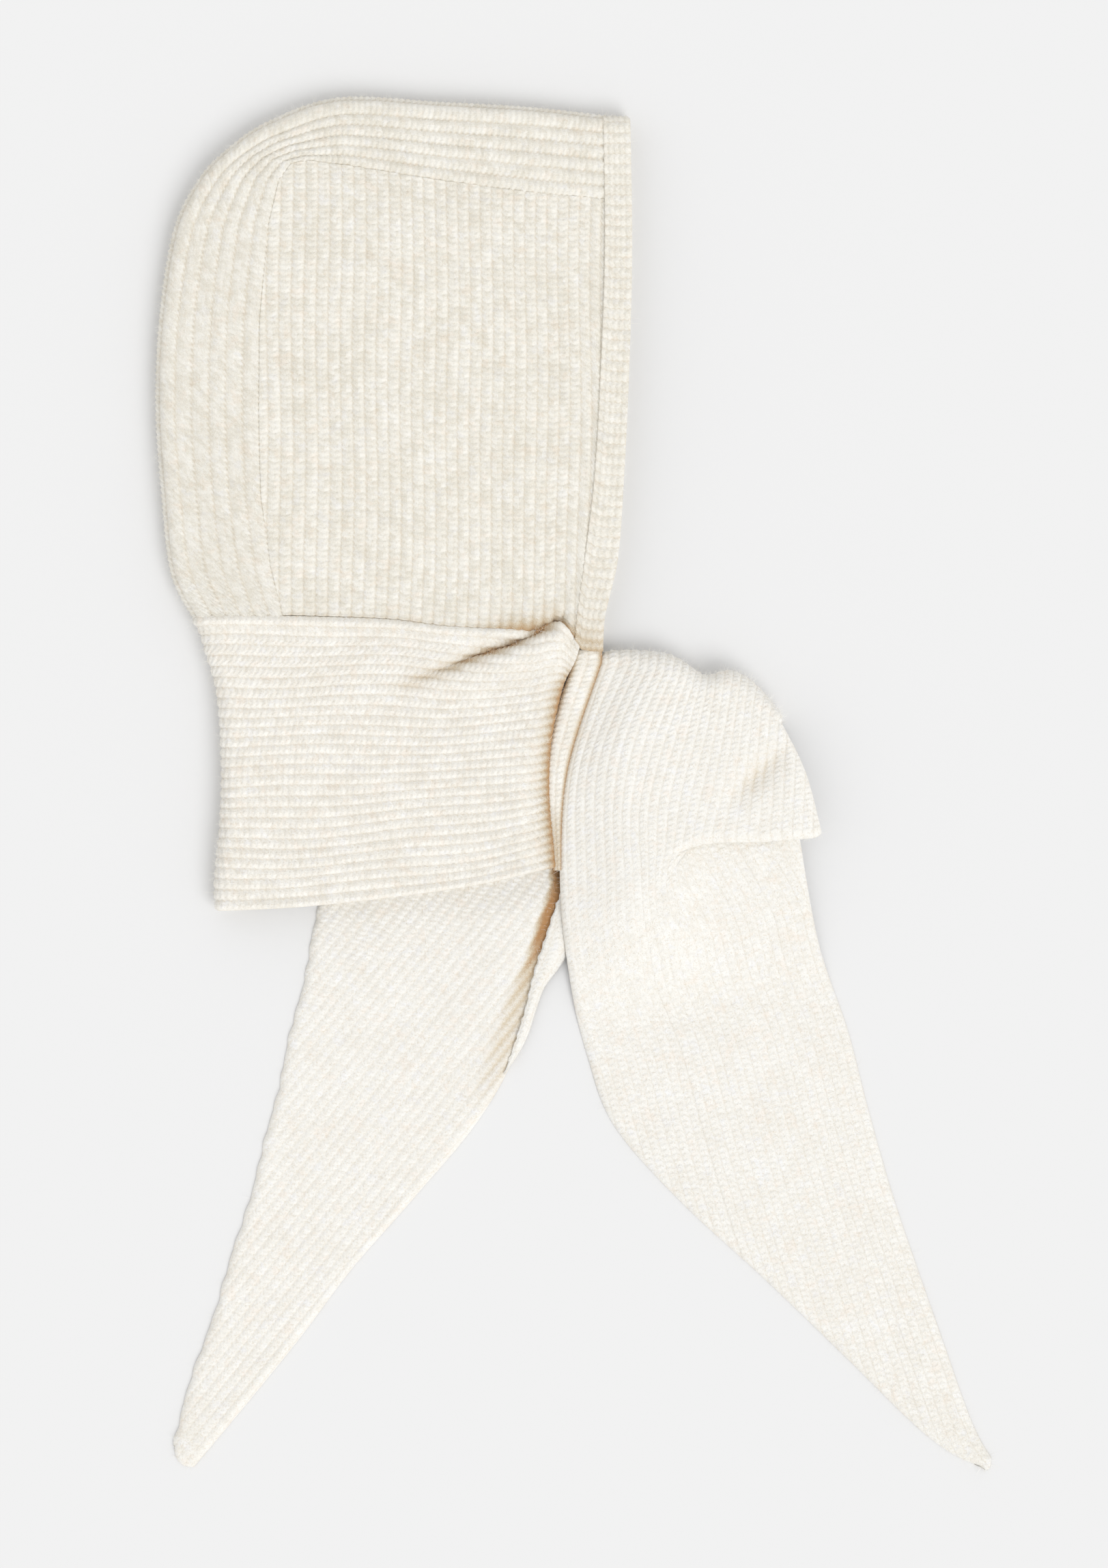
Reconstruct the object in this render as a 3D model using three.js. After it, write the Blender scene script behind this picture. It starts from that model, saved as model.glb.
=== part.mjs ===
import * as THREE from "three";

// A snood hood in chunky ribbed wool knit: hood, crown gusset, face band, deep neck collar and two pointed
// scarf tails that cross once at the throat. It lies on its side, flattened, on a level surface.
// Millimetres. X runs from the back of the head to the face, Y from the tails to the crown, Z up off the surface.
// The tables below are laid out from the throat, where hood, collar and tails meet, and hold shares of the sizes.

// The knit
const knit = 3.6; // thickness of the ribbed knit
const ribHeight = 0.9; // how far a rib stands above its groove
const ribSlope = 0.2; // most that a narrowing rib stands up, as a share of its width
const hoodRib = 6.4; // from rib to rib on the hood's sides
const gussetRib = 6.9;
const collarRib = 5.5;
const tailOverRib = 4.7;
const tailUnderRib = 5.3;
const seamGap = 0.4; // between two pieces that are sewn edge to edge
const layerGap = 0.5; // between two layers that lie on each other

// The hood
const hoodDepth = 264; // back of the head to the face edge
const hoodHeight = 302; // throat to crown
const faceForward = 30; // face edge ahead of the throat
const lieLoft = 9; // clear height between the two sides at the folds
const hoodSwell = 7; // how much higher the upper side stands in its middle
const bandWidth = 16;
const bandWall = 5; // the band is knitted double

// The collar
const collarWidth = 212; // throat to the fold at the nape
const collarHeight = 160; // neck seam to hem
const hemSwell = 0.8; // extra thickness of the rounded hem
const creaseWidth = 18; // where the collar's front end turns down at the throat
const collarRidge = 6; // height of the slanting fold under the neck seam
const collarRidgeWidth = 8;
const throatEdgeRib = 0.7;
const throatEdgeTop = 8; // how far short of the throat and of the hem the turned-in edge shows

// The tails
const wingReach = 125; // throat to the side of the folded wing
const wingDrop = 103; // throat down to the wing's lip
const wingLoft = 4; // how much the wing is puffed up
const wingDent = 4;
const wingDentWidth = 15;
const pleatDepth = 18; // how far the pleat under the wing's lip tucks back at its free side
const tailOverReach = 228; // throat sideways to the tip
const tailOverLength = 458; // throat down to the tip
const tailUnderReach = 228;
const tailUnderLength = 457;
const tailTuck = 34; // how far the lower tail runs on beneath the collar
const rimRoll = 2.4; // height of the rolled border of the lower tail

// Levels of the middle of a layer above the surface
const floorLevel = knit / 2;
const raisedLevel = floorLevel + knit + layerGap; // over the lower tail
const lieLevel = floorLevel + knit + lieLoft;
const creaseLevel = raisedLevel + knit + layerGap + ribHeight;
const tailLevel = floorLevel + knit + 3 * layerGap;
const pleatRadius = knit / 2 + layerGap;
const wingLevel = tailLevel + 4 * pleatRadius + wingLoft;

const backX = faceForward - hoodDepth;

// The gusset from the face to the nape: its fold (out) and its seam to the side (in), shares of the hood's
// depth from the back and of its height.
const gussetRows = [
  { outX: 0.939, outY: 0.972, inX: 0.939, inY: 0.806 },
  { outX: 0.78, outY: 0.984, inX: 0.78, inY: 0.818 },
  { outX: 0.6, outY: 0.994, inX: 0.606, inY: 0.838 },
  { outX: 0.379, outY: 1.0, inX: 0.398, inY: 0.868 },
  { outX: 0.22, outY: 0.954, inX: 0.325, inY: 0.876 },
  { outX: 0.136, outY: 0.904, inX: 0.288, inY: 0.872 },
  { outX: 0.083, outY: 0.85, inX: 0.262, inY: 0.842 },
  { outX: 0.036, outY: 0.755, inX: 0.24, inY: 0.76 },
  { outX: 0.01, outY: 0.59, inX: 0.222, inY: 0.586 },
  { outX: 0.0, outY: 0.43, inX: 0.22, inY: 0.42 },
  { outX: 0.008, outY: 0.28, inX: 0.224, inY: 0.27 },
  { outX: 0.034, outY: 0.13, inX: 0.244, inY: 0.14 },
  { outX: 0.081, outY: 0.049, inX: 0.269, inY: 0.051 },
];
const gussetCorner = 5; // the row where the side's top edge turns down into its back edge

// The neck seam: shares of the hood's depth from the back and of its height.
const neckRows = [
  { x: 0.0, y: 0.048 },
  { x: 0.081, y: 0.049 },
  { x: 0.19, y: 0.05 },
  { x: 0.485, y: 0.043 },
  { x: 0.617, y: 0.03 },
  { x: 0.78, y: 0.026 },
  { x: 0.85, y: 0.026 },
  { x: 0.9, y: 0.008 },
  { x: 1.0, y: 0.008 },
];

// The face edge from the throat up (share of the hood's height): how far it stands back from its foremost
// point, as a share of the depth, and its width as a share of the band's.
const faceRows = [
  { y: 0.0, back: 0.066, width: 0.95 },
  { y: 0.05, back: 0.062, width: 0.93 },
  { y: 0.15, back: 0.036, width: 1.1 },
  { y: 0.3, back: 0.019, width: 1.06 },
  { y: 0.5, back: 0.006, width: 1.05 },
  { y: 0.72, back: 0.0, width: 1.0 },
  { y: 0.97, back: 0.008, width: 0.9 },
];

// How much of the swell the upper side has, by height, in shares of the hood's height from the throat.
const swellRows = [
  { y: -0.53, rise: 0.55 },
  { y: -0.25, rise: 0.7 },
  { y: 0.0, rise: 0.5 },
  { y: 0.35, rise: 1.0 },
  { y: 0.7, rise: 0.95 },
  { y: 0.9, rise: 0.5 },
  { y: 1.0, rise: 0.2 },
];

// The collar from the neck seam to the hem: where its nape fold and its front end lie behind the throat,
// in shares of its width.
const collarRows = [
  { down: 0.0, back: 1.0, front: 0.0 },
  { down: 0.1, back: 0.979, front: 0.006 },
  { down: 0.25, back: 0.946, front: 0.033 },
  { down: 0.5, back: 0.932, front: 0.068 },
  { down: 0.7, back: 0.936, front: 0.073 },
  { down: 0.9, back: 0.95, front: 0.063 },
  { down: 1.0, back: 0.948, front: 0.061 },
];
// The hem, by its share of the collar's width behind the throat, in shares of the collar's height.
const hemRows = [
  { back: 0.0, down: 0.768 },
  { back: 0.06, down: 0.77 },
  { back: 0.29, down: 0.835 },
  { back: 0.68, down: 0.9 },
  { back: 0.95, down: 0.92 },
  { back: 1.0, down: 0.92 },
];

// The wing of the upper tail: its crest, the line over its middle and its lip, in shares of its reach and drop.
const wingCrest = [
  { x: 0.088, y: -0.039 },
  { x: 0.24, y: -0.034 },
  { x: 0.4, y: -0.062 },
  { x: 0.56, y: -0.175 },
  { x: 0.67, y: -0.148 },
  { x: 0.776, y: -0.223 },
  { x: 0.9, y: -0.388 },
  { x: 1.0, y: -0.709 },
];
const crestFacing = { start: 92, end: 22 }; // which way the crest faces at its two ends, in degrees from +X
const wingMiddle = [
  { x: -0.064, y: -0.7 },
  { x: 0.48, y: -0.56 },
  { x: 1.04, y: -0.86 },
];
const wingLip = [
  { x: -0.09, y: -1.3 },
  { x: 0.2, y: -1.33 },
  { x: 0.45, y: -1.08 },
  { x: 0.85, y: -1.04 },
  { x: 1.06, y: -1.02 },
];

// Both tails as rows of their two edges, in shares of their reach and length.
const tailOverRows = [
  { leftX: -0.03, leftY: -0.415, rightX: 0.57, rightY: -0.356 },
  { leftX: 0.008, leftY: -0.498, rightX: 0.636, rightY: -0.465 },
  { leftX: 0.082, leftY: -0.581, rightX: 0.697, rightY: -0.559 },
  { leftX: 0.24, leftY: -0.671, rightX: 0.754, rightY: -0.659 },
  { leftX: 0.447, leftY: -0.766, rightX: 0.816, rightY: -0.751 },
  { leftX: 0.645, leftY: -0.861, rightX: 0.876, rightY: -0.836 },
  { leftX: 0.838, leftY: -0.954, rightX: 0.946, rightY: -0.934 },
  { leftX: 0.98, leftY: -1.0, rightX: 1.0, rightY: -0.988 },
];
const tailUnderRows = [
  { leftX: -0.636, leftY: -0.322, rightX: -0.056, rightY: -0.3 },
  { leftX: -0.671, leftY: -0.407, rightX: -0.061, rightY: -0.396 },
  { leftX: -0.711, leftY: -0.49, rightX: -0.138, rightY: -0.492 },
  { leftX: -0.754, leftY: -0.582, rightX: -0.25, rightY: -0.578 },
  { leftX: -0.803, leftY: -0.672, rightX: -0.404, rightY: -0.67 },
  { leftX: -0.855, leftY: -0.757, rightX: -0.553, rightY: -0.755 },
  { leftX: -0.908, leftY: -0.838, rightX: -0.675, rightY: -0.836 },
  { leftX: -0.956, leftY: -0.91, rightX: -0.798, rightY: -0.912 },
  { leftX: -0.995, leftY: -0.978, rightX: -0.945, rightY: -1.0 },
];

const lerp = THREE.MathUtils.lerp;

/** Eases from 0 at `from` to 1 at `to`. */
function ease(value, from, to) {
  const share = THREE.MathUtils.clamp((value - from) / (to - from), 0, 1);
  return share * share * (3 - 2 * share);
}

/** A column of a table at a value of its key column, on a smooth curve through the rows. */
function track(rows, key, column, at) {
  let i = 0;
  while (i < rows.length - 2 && at > rows[i + 1][key]) i += 1;
  const slope = (k) => {
    const a = rows[Math.max(k - 1, 0)];
    const b = rows[Math.min(k + 1, rows.length - 1)];
    return (b[column] - a[column]) / (b[key] - a[key]);
  };
  const span = rows[i + 1][key] - rows[i][key];
  const share = THREE.MathUtils.clamp((at - rows[i][key]) / span, 0, 1);
  const rest = 1 - share;
  return (
    rows[i][column] * (1 + 2 * share) * rest * rest +
    rows[i + 1][column] * (3 - 2 * share) * share * share +
    span * share * rest * (slope(i) * rest - slope(i + 1) * share)
  );
}

/** A point of a table of points at a share of the way along it, on a smooth curve, or straight from row to row. */
function pointAlong(points, share, straight = false) {
  const at = THREE.MathUtils.clamp(share, 0, 1) * (points.length - 1);
  const i = Math.min(Math.floor(at), points.length - 2);
  const step = at - i;
  const point = (k) => points[THREE.MathUtils.clamp(k, 0, points.length - 1)];
  const blend = (axis) =>
    straight
      ? lerp(point(i)[axis], point(i + 1)[axis], step)
      : catmull(point(i - 1)[axis], point(i)[axis], point(i + 1)[axis], point(i + 2)[axis], step);
  return new THREE.Vector2(blend("x"), blend("y"));
}

/** The Catmull-Rom curve through four values, between the second and the third. */
function catmull(a, b, c, d, step) {
  return b + (step / 2) * (c - a + step * (2 * a - 5 * b + 4 * c - d + step * (3 * (b - c) + d - a)));
}

const hoodPoint = (x, y) => new THREE.Vector2(backX + hoodDepth * x, hoodHeight * y);
const neckY = (x) => hoodHeight * track(neckRows, "x", "y", (x - backX) / hoodDepth);
const faceX = (y) => faceForward - hoodDepth * track(faceRows, "y", "back", y / hoodHeight);
const bandSeamX = (y) => faceX(y) - bandWidth * track(faceRows, "y", "width", y / hoodHeight);
const gussetFold = gussetRows.map((row) => hoodPoint(row.outX, row.outY));
const gussetSeam = gussetRows.map((row) => hoodPoint(row.inX, row.inY));
gussetFold[0].x = bandSeamX(gussetFold[0].y) - seamGap;
gussetSeam[0].x = bandSeamX(gussetSeam[0].y) - seamGap;
const collarX = (column, down) => -collarWidth * track(collarRows, "down", column, down);
const hemY = (x) => -collarHeight * track(hemRows, "back", "down", -x / collarWidth);

/** Height of the layer on the surface: it lies flat, and is raised where the lower tail runs beneath it. */
function lowerLevel(x, y) {
  const tuckTop = hemY(x) + tailTuck;
  const overY = ease(tuckTop + 16 - y, 0, 12);
  const left = tailUnderReach * tailUnderRows[0].leftX;
  const overX = ease(x, left - 48, left - 30) * (1 - ease(x, -2, 16));
  return lerp(floorLevel, raisedLevel, overX * overY);
}

/** Height of the upper side of the hood and the collar: swollen in its middle, folded and creased at the throat. */
function upperLevel(x, y) {
  const across = Math.sin(Math.PI * THREE.MathUtils.clamp((x - backX) / hoodDepth, 0, 1)) ** 0.7;
  const swell = hoodSwell * across * track(swellRows, "y", "rise", y / hoodHeight);
  const ridgeShare = THREE.MathUtils.clamp(1 + x / (0.42 * collarWidth), 0, 1);
  const ridgeY = lerp(-0.05, 0.035, ridgeShare) * collarHeight;
  const bump = (offset) => Math.exp(-(((y - ridgeY - offset) / collarRidgeWidth) ** 2));
  const ridge = collarRidge * ease(ridgeShare, 0, 1) * (bump(0) - 0.5 * bump(-2 * collarRidgeWidth));
  const down = THREE.MathUtils.clamp(-y / collarHeight, 0, 1);
  const end = collarX("front", down);
  const crease = ease(x, end - creaseWidth, end) * ease(-y, -12, 16);
  return lerp(lieLevel + swell + ridge, creaseLevel, crease);
}

/**
 * A flattened fold: from `inner` on the upper level out to the fold at `outer` and back on the lower level.
 * `turn` gives the shares at which the round of the fold begins and ends, `wall` the thickness of the piece.
 */
function hairpin(inner, outer, share, turn, wall) {
  const out = outer.clone().sub(inner).normalize();
  const guess = outer.clone().addScaledVector(out, -knit - lieLoft / 2);
  const lift = (wall - knit) / 2;
  const radius = (upperLevel(guess.x, guess.y) - lowerLevel(guess.x, guess.y)) / 2;
  const centre = outer.clone().addScaledVector(out, -wall / 2 + lift - radius);
  const top = (p) => upperLevel(p.x, p.y) + lift;
  const bottom = (p) => lowerLevel(p.x, p.y) + lift;
  if (share < turn[0]) {
    const p = inner.clone().lerp(centre, share / turn[0]);
    return new THREE.Vector3(p.x, p.y, top(p));
  }
  if (share > turn[1]) {
    const p = centre.clone().lerp(inner, (share - turn[1]) / (1 - turn[1]));
    return new THREE.Vector3(p.x, p.y, bottom(p));
  }
  const angle = (Math.PI * (share - turn[0])) / (turn[1] - turn[0]);
  const p = centre.clone().addScaledVector(out, radius * Math.sin(angle));
  const z = lerp(bottom(centre), top(centre), (1 + Math.cos(angle)) / 2);
  return new THREE.Vector3(p.x, p.y, z);
}

/** Shares from 0 to 1 in runs: each run is [where it ends, how many steps it takes]. */
function stations(...runs) {
  const shares = [0];
  for (const [end, count] of runs) {
    const start = shares[shares.length - 1];
    for (let k = 1; k <= count; k += 1) shares.push(lerp(start, end, k / count));
  }
  return shares;
}

const even = (count) => stations([1, count]);

/**
 * A knit wall as one closed mesh. `place(w, t)` is its middle surface, w along the ribs and t across them, and
 * `side` is 1 where the outside is to the left of t going along w, else -1. The outside carries the ribs as
 * ridges, two steps to a rib, and fades them out where it faces down. The inside is smooth and has fewer steps.
 */
function knitPiece({ name, place, along, ribs, inside, side = 1, wall = knit, relief = ribHeight, extra = () => 0 }) {
  const reach = 1e-3;
  const normalAt = (w, t) => {
    const alongRib = place(Math.min(w + reach, 1), t).sub(place(Math.max(w - reach, 0), t));
    const overRib = place(w, Math.min(t + reach, 1)).sub(place(w, Math.max(t - reach, 0)));
    return alongRib.cross(overRib).normalize().multiplyScalar(side);
  };
  const outer = even(2 * ribs);
  const inner = even(inside);
  const positions = [];
  const grid = (shares, offset) =>
    along.map((w) =>
      shares.map((t, k) => {
        const normal = normalAt(w, t);
        const p = place(w, t).addScaledVector(normal, offset(w, t, k, normal));
        return positions.push(p.x, p.y, p.z) / 3 - 1;
      }),
    );
  const ribWidth = (w, t) => {
    const before = place(w, Math.max(t - 0.5 / ribs, 0));
    return place(w, Math.min(t + 0.5 / ribs, 1)).distanceTo(before);
  };
  const ridge = (w, t, k, normal) => {
    const height = Math.min(relief, ribSlope * ribWidth(w, t)) * ease(normal.z, -0.6, 0);
    return (k % 2 ? 0.5 : -0.5) * height;
  };
  const out = grid(outer, (w, t, k, normal) => wall / 2 + extra(w, t) + ridge(w, t, k, normal));
  const into = grid(inner, () => -wall / 2);

  const faces = [];
  const face = (a, b, c) => faces.push(...(side > 0 ? [a, b, c] : [a, c, b]));
  const cover = (rows, turned) => {
    for (let i = 0; i < rows.length - 1; i += 1)
      for (let j = 0; j < rows[i].length - 1; j += 1) {
        const [a, b, c, d] = [rows[i][j], rows[i + 1][j], rows[i + 1][j + 1], rows[i][j + 1]];
        if (turned) {
          face(a, c, b);
          face(a, d, c);
        } else {
          face(a, b, c);
          face(a, c, d);
        }
      }
  };
  const rim = (a, b) => {
    let i = 0;
    let j = 0;
    while (i < a.length - 1 || j < b.length - 1) {
      const takeOuter = j === b.length - 1 || (i < a.length - 1 && (i + 1) / (a.length - 1) <= (j + 1) / (b.length - 1));
      if (takeOuter) {
        face(a[i], a[i + 1], b[j]);
        i += 1;
      } else {
        face(a[i], b[j + 1], b[j]);
        j += 1;
      }
    }
  };
  const last = (row) => row[row.length - 1];
  cover(out, false);
  cover(into, true);
  rim(out[0], into[0]);
  rim(out.map(last), into.map(last));
  rim([...last(out)].reverse(), [...last(into)].reverse());
  rim(out.map((row) => row[0]).reverse(), into.map((row) => row[0]).reverse());

  const geometry = new THREE.BufferGeometry();
  geometry.setAttribute("position", new THREE.Float32BufferAttribute(positions, 3));
  geometry.setIndex(faces);
  geometry.computeVertexNormals();
  const wool = new THREE.MeshStandardMaterial({ color: 0xece7db, roughness: 0.95, metalness: 0 });
  const mesh = new THREE.Mesh(geometry, wool);
  mesh.name = name;
  return mesh;
}

/** The strip over the crown and down the back, folded in half along the outline, its ribs running along it. */
function crownGusset() {
  const halfRibs = Math.round((gussetSeam[9].distanceTo(gussetFold[9]) - lieLoft) / gussetRib);
  const foldRibs = 3;
  const ribs = 2 * halfRibs + foldRibs;
  const turn = [halfRibs / ribs, (halfRibs + foldRibs) / ribs];
  const lastRow = 1 - 1 / (gussetRows.length - 1);
  const fold = (w, t) => hairpin(pointAlong(gussetSeam, w, true), pointAlong(gussetFold, w), t, turn, knit);
  const place = (w, t) => {
    const p = fold(w, t);
    const foot = fold(1, t);
    p.y += (neckY(foot.x) + seamGap - foot.y) * ease(w, lastRow, 1);
    return p;
  };
  return knitPiece({ name: "crown_gusset", place, along: even(24), ribs, inside: 9, side: -1 });
}

/** One side of the hood: a four-sided patch between gusset, band and neck seam, its ribs running up and down. */
function hoodSide(name, level, ribbed) {
  const corner = gussetCorner / (gussetRows.length - 1);
  const seamEnd = gussetSeam[gussetSeam.length - 1];
  const top = (s) => pointAlong(gussetSeam, corner * (1 - s), true).add(new THREE.Vector2(0, -seamGap));
  const back = (s) => pointAlong(gussetSeam, lerp(1, corner, s), true).add(new THREE.Vector2(seamGap, 0));
  const frontTop = gussetSeam[0].y - seamGap;
  const frontFoot = neckY(bandSeamX(0)) + seamGap;
  const front = (s) => {
    const y = lerp(frontFoot, frontTop, s);
    return new THREE.Vector2(bandSeamX(y) - seamGap, y);
  };
  const foot = (s) => {
    const x = lerp(seamEnd.x + seamGap, bandSeamX(frontFoot) - seamGap, s);
    return new THREE.Vector2(x, neckY(x) + seamGap);
  };
  const place = (w, t) => {
    const p = foot(t).multiplyScalar(1 - w).addScaledVector(top(t), w);
    p.addScaledVector(back(w), 1 - t).addScaledVector(front(w), t);
    p.addScaledVector(foot(0), -(1 - t) * (1 - w)).addScaledVector(foot(1), -t * (1 - w));
    p.addScaledVector(top(0), -(1 - t) * w).addScaledVector(top(1), -t * w);
    return new THREE.Vector3(p.x, p.y, level(p.x, p.y));
  };
  const width = bandSeamX(hoodHeight / 2) - gussetSeam[9].x;
  const ribs = ribbed ? Math.round(width / hoodRib) : 5;
  const relief = ribbed ? ribHeight : 0;
  return knitPiece({ name, place, along: even(7), ribs, inside: 12, side: ribbed ? -1 : 1, relief });
}

/** The doubled trim of the face opening: a flattened loop from the throat over the brow and back. */
function faceBand() {
  const brow = gussetRows[0].outY * hoodHeight;
  const turn = [0.45, 0.55];
  const place = (w, t) => {
    const x = lerp(bandSeamX(0), faceX(0), t);
    const foot = new THREE.Vector2(x, neckY(x) + 2 * seamGap);
    const p = hairpin(foot, new THREE.Vector2(x, brow), w, turn, bandWall);
    p.x = lerp(bandSeamX(p.y), faceX(p.y), t);
    return p;
  };
  const along = stations([turn[0], 11], [turn[1], 5], [1, 9]);
  return knitPiece({ name: "face_band", place, along, ribs: 1, inside: 2, side: -1, wall: bandWall, relief: 0 });
}

/** The deep neck band: open at the throat, folded at the nape, its ribs running round the neck. */
function neckCollar() {
  const turn = [0.42, 0.58];
  const farEnd = -seamGap;
  const place = (w, t) => {
    const back = collarX("back", t);
    const front = w < 0.5 ? collarX("front", t) : farEnd;
    const p = hairpin(new THREE.Vector2(front, 0), new THREE.Vector2(back, 0), w, turn, knit);
    p.y = lerp(neckY(p.x) - seamGap, hemY(p.x), t);
    p.z = levelRound(p, w, turn);
    return p;
  };
  const levelRound = (p, w, [start, end]) => {
    const top = upperLevel(p.x, p.y);
    const bottom = lowerLevel(p.x, p.y);
    const angle = THREE.MathUtils.clamp((w - start) / (end - start), 0, 1) * Math.PI;
    return lerp(bottom, top, (1 + Math.cos(angle)) / 2);
  };
  const ribs = Math.round(collarHeight / collarRib);
  const along = stations([turn[0], 8], [turn[1], 5], [1, 5]);
  const extra = (w, t) => hemSwell * ease(t, 0.95, 1) * (w < turn[0] ? 1 : 0);
  return knitPiece({ name: "neck_collar", place, along, ribs, inside: 9, side: 1, extra });
}

/** A row of points across a tail at a share of its length, from its left edge to its right one. */
function tailPoint(rows, reach, length, share, t) {
  const left = rows.map((row) => new THREE.Vector2(row.leftX * reach, row.leftY * length));
  const right = rows.map((row) => new THREE.Vector2(row.rightX * reach, row.rightY * length));
  return pointAlong(left, share).lerp(pointAlong(right, share), t);
}

const wingPoint = (p) => new THREE.Vector2(p.x * wingReach, p.y * wingDrop);
const crest = wingCrest.map(wingPoint);
const middle = wingMiddle.map(wingPoint);
const lip = wingLip.map(wingPoint);
const wingLeft = [lip[0], middle[0], crestFold(0).centre];

/** Height of the wing's upper layer: low along the throat, puffed up further out, with one dent. */
function wingTop(p, t) {
  const plateau = lerp(creaseLevel, wingLevel, ease(t, 0, 0.3));
  const dent = wingPoint({ x: 0.68, y: -0.68 });
  return plateau - wingDent * Math.exp(-((p.distanceTo(dent) / wingDentWidth) ** 2));
}

/** The crest of the wing at a share of the way along it: the middle of the round fold and which way is out. */
function crestFold(t) {
  const p = pointAlong(crest, t);
  const facing = THREE.MathUtils.degToRad(lerp(crestFacing.start, crestFacing.end, t));
  const out = new THREE.Vector2(Math.cos(facing), Math.sin(facing));
  const radius = (lerp(creaseLevel, wingLevel, ease(t, 0, 0.3)) - floorLevel) / 2;
  return { centre: p.addScaledVector(out, -radius - knit / 2), out, radius };
}

/**
 * The upper tail. It leaves the collar's lower layer, turns over at the wing's crest, comes down over itself to
 * the lip, tucks back in a pleat that opens towards the free side, and runs out flat to its tip.
 */
function tailOver() {
  const [underEnd, crestEnd, topEnd, pleatEnd] = [0.12, 0.26, 0.44, 0.6];
  const rootTop = new THREE.Vector2(seamGap, wingDrop * -0.13);
  const rootFoot = new THREE.Vector2(seamGap, hemY(0));
  // The pleat seen from the free side: how far down the tail each turn lies, in pleat radii and in pleat
  // depths, and how far it has dropped, in pleat radii.
  const pleatRows = [
    { radii: -1.4, depths: 0, drop: 0 },
    { radii: -0.3, depths: 0, drop: 0.3 },
    { radii: 0, depths: 0, drop: 1 },
    { radii: 0, depths: 0.1, drop: 1.7 },
    { radii: 0, depths: 0.3, drop: 2 },
    { radii: 0, depths: 0.95, drop: 2.15 },
    { radii: 0, depths: 1.05, drop: 3.1 },
    { radii: 0, depths: 0.95, drop: 4 },
  ];
  const pleatStart = (t) => pointAlong(lip, t);
  const pleat = (t, q) => {
    const at = q * (pleatRows.length - 1);
    const i = Math.min(Math.floor(at), pleatRows.length - 2);
    const mix = (column) => lerp(pleatRows[i][column], pleatRows[i + 1][column], at - i);
    const folded = ease(t, 0.2, 0.5);
    const tuck = mix("depths") * pleatDepth * ease(t, 0.45, 1);
    const down = lerp(2 * q, mix("radii"), folded) * pleatRadius;
    const p = pleatStart(t);
    const z = wingTop(p, t) - mix("drop") * pleatRadius * folded;
    return new THREE.Vector3(p.x + 0.15 * down - 0.8 * tuck, p.y - down + 0.6 * tuck, z);
  };
  const place = (w, t) => {
    const fold = crestFold(t);
    if (w <= underEnd) {
      const p = rootTop.clone().lerp(rootFoot, t).lerp(fold.centre, w / underEnd);
      return new THREE.Vector3(p.x, p.y, lowerLevel(p.x, p.y));
    }
    if (w <= crestEnd) {
      const angle = (Math.PI * (w - underEnd)) / (crestEnd - underEnd);
      const { centre } = fold;
      const p = centre.clone().addScaledVector(fold.out, fold.radius * Math.sin(angle));
      const z = lerp(lowerLevel(centre.x, centre.y), wingTop(centre, t), (1 - Math.cos(angle)) / 2);
      return new THREE.Vector3(p.x, p.y, z);
    }
    const turned = pleat(t, 0);
    if (w <= topEnd) {
      const s = (w - crestEnd) / (topEnd - crestEnd);
      const p = pointAlong([fold.centre, pointAlong(middle, t), new THREE.Vector2(turned.x, turned.y)], s);
      return new THREE.Vector3(p.x, p.y, wingTop(p, t));
    }
    if (w <= pleatEnd) return pleat(t, (w - topEnd) / (pleatEnd - topEnd));
    const s = (w - pleatEnd) / (1 - pleatEnd);
    const start = pleat(t, 1);
    const rows = tailOverRows.map((row) =>
      new THREE.Vector2(row.leftX * tailOverReach, row.leftY * tailOverLength).lerp(
        new THREE.Vector2(row.rightX * tailOverReach, row.rightY * tailOverLength),
        t,
      ),
    );
    const p = pointAlong([new THREE.Vector2(start.x, start.y), ...rows], s);
    return new THREE.Vector3(p.x, p.y, lerp(start.z, floorLevel, ease(s, 0.02, 0.2)));
  };
  const along = stations([underEnd, 2], [crestEnd, 5], [topEnd, 4], [pleatEnd, 7], [1, 7]);
  const ribs = Math.round(wingReach / tailOverRib);
  return knitPiece({ name: "tail_over", place, along, ribs, inside: 18, side: 1 });
}

/** The lower tail: from beneath the collar's hem flat to its tip, its border towards the other tail rolled up. */
function tailUnder() {
  const hemRow = tailUnderRows[0];
  const hidden = [
    { ...hemRow, leftX: hemRow.leftX + 0.03, leftY: (hemY(-collarWidth * 0.63) + tailTuck) / tailUnderLength },
  ];
  hidden[0].rightY = hidden[0].leftY;
  hidden[0].rightX = -0.075;
  const rows = [...hidden, ...tailUnderRows];
  const place = (w, t) => {
    const p = tailPoint(rows, tailUnderReach, tailUnderLength, w, t);
    const clearOfHem = ease(hemY(p.x) - layerGap - p.y, 4, 24) * (1 - ease(w, 0.5, 0.8));
    const roll = rimRoll * clearOfHem * (ease(t, 0.84, 1) - 0.4 * ease(t, 0.7, 0.84) * (1 - ease(t, 0.84, 1)));
    return new THREE.Vector3(p.x, p.y, floorLevel + Math.max(roll, 0));
  };
  const ribs = Math.round((tailUnderReach * 0.58) / tailUnderRib);
  return knitPiece({ name: "tail_under", place, along: even(12), ribs, inside: 8 });
}

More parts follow.
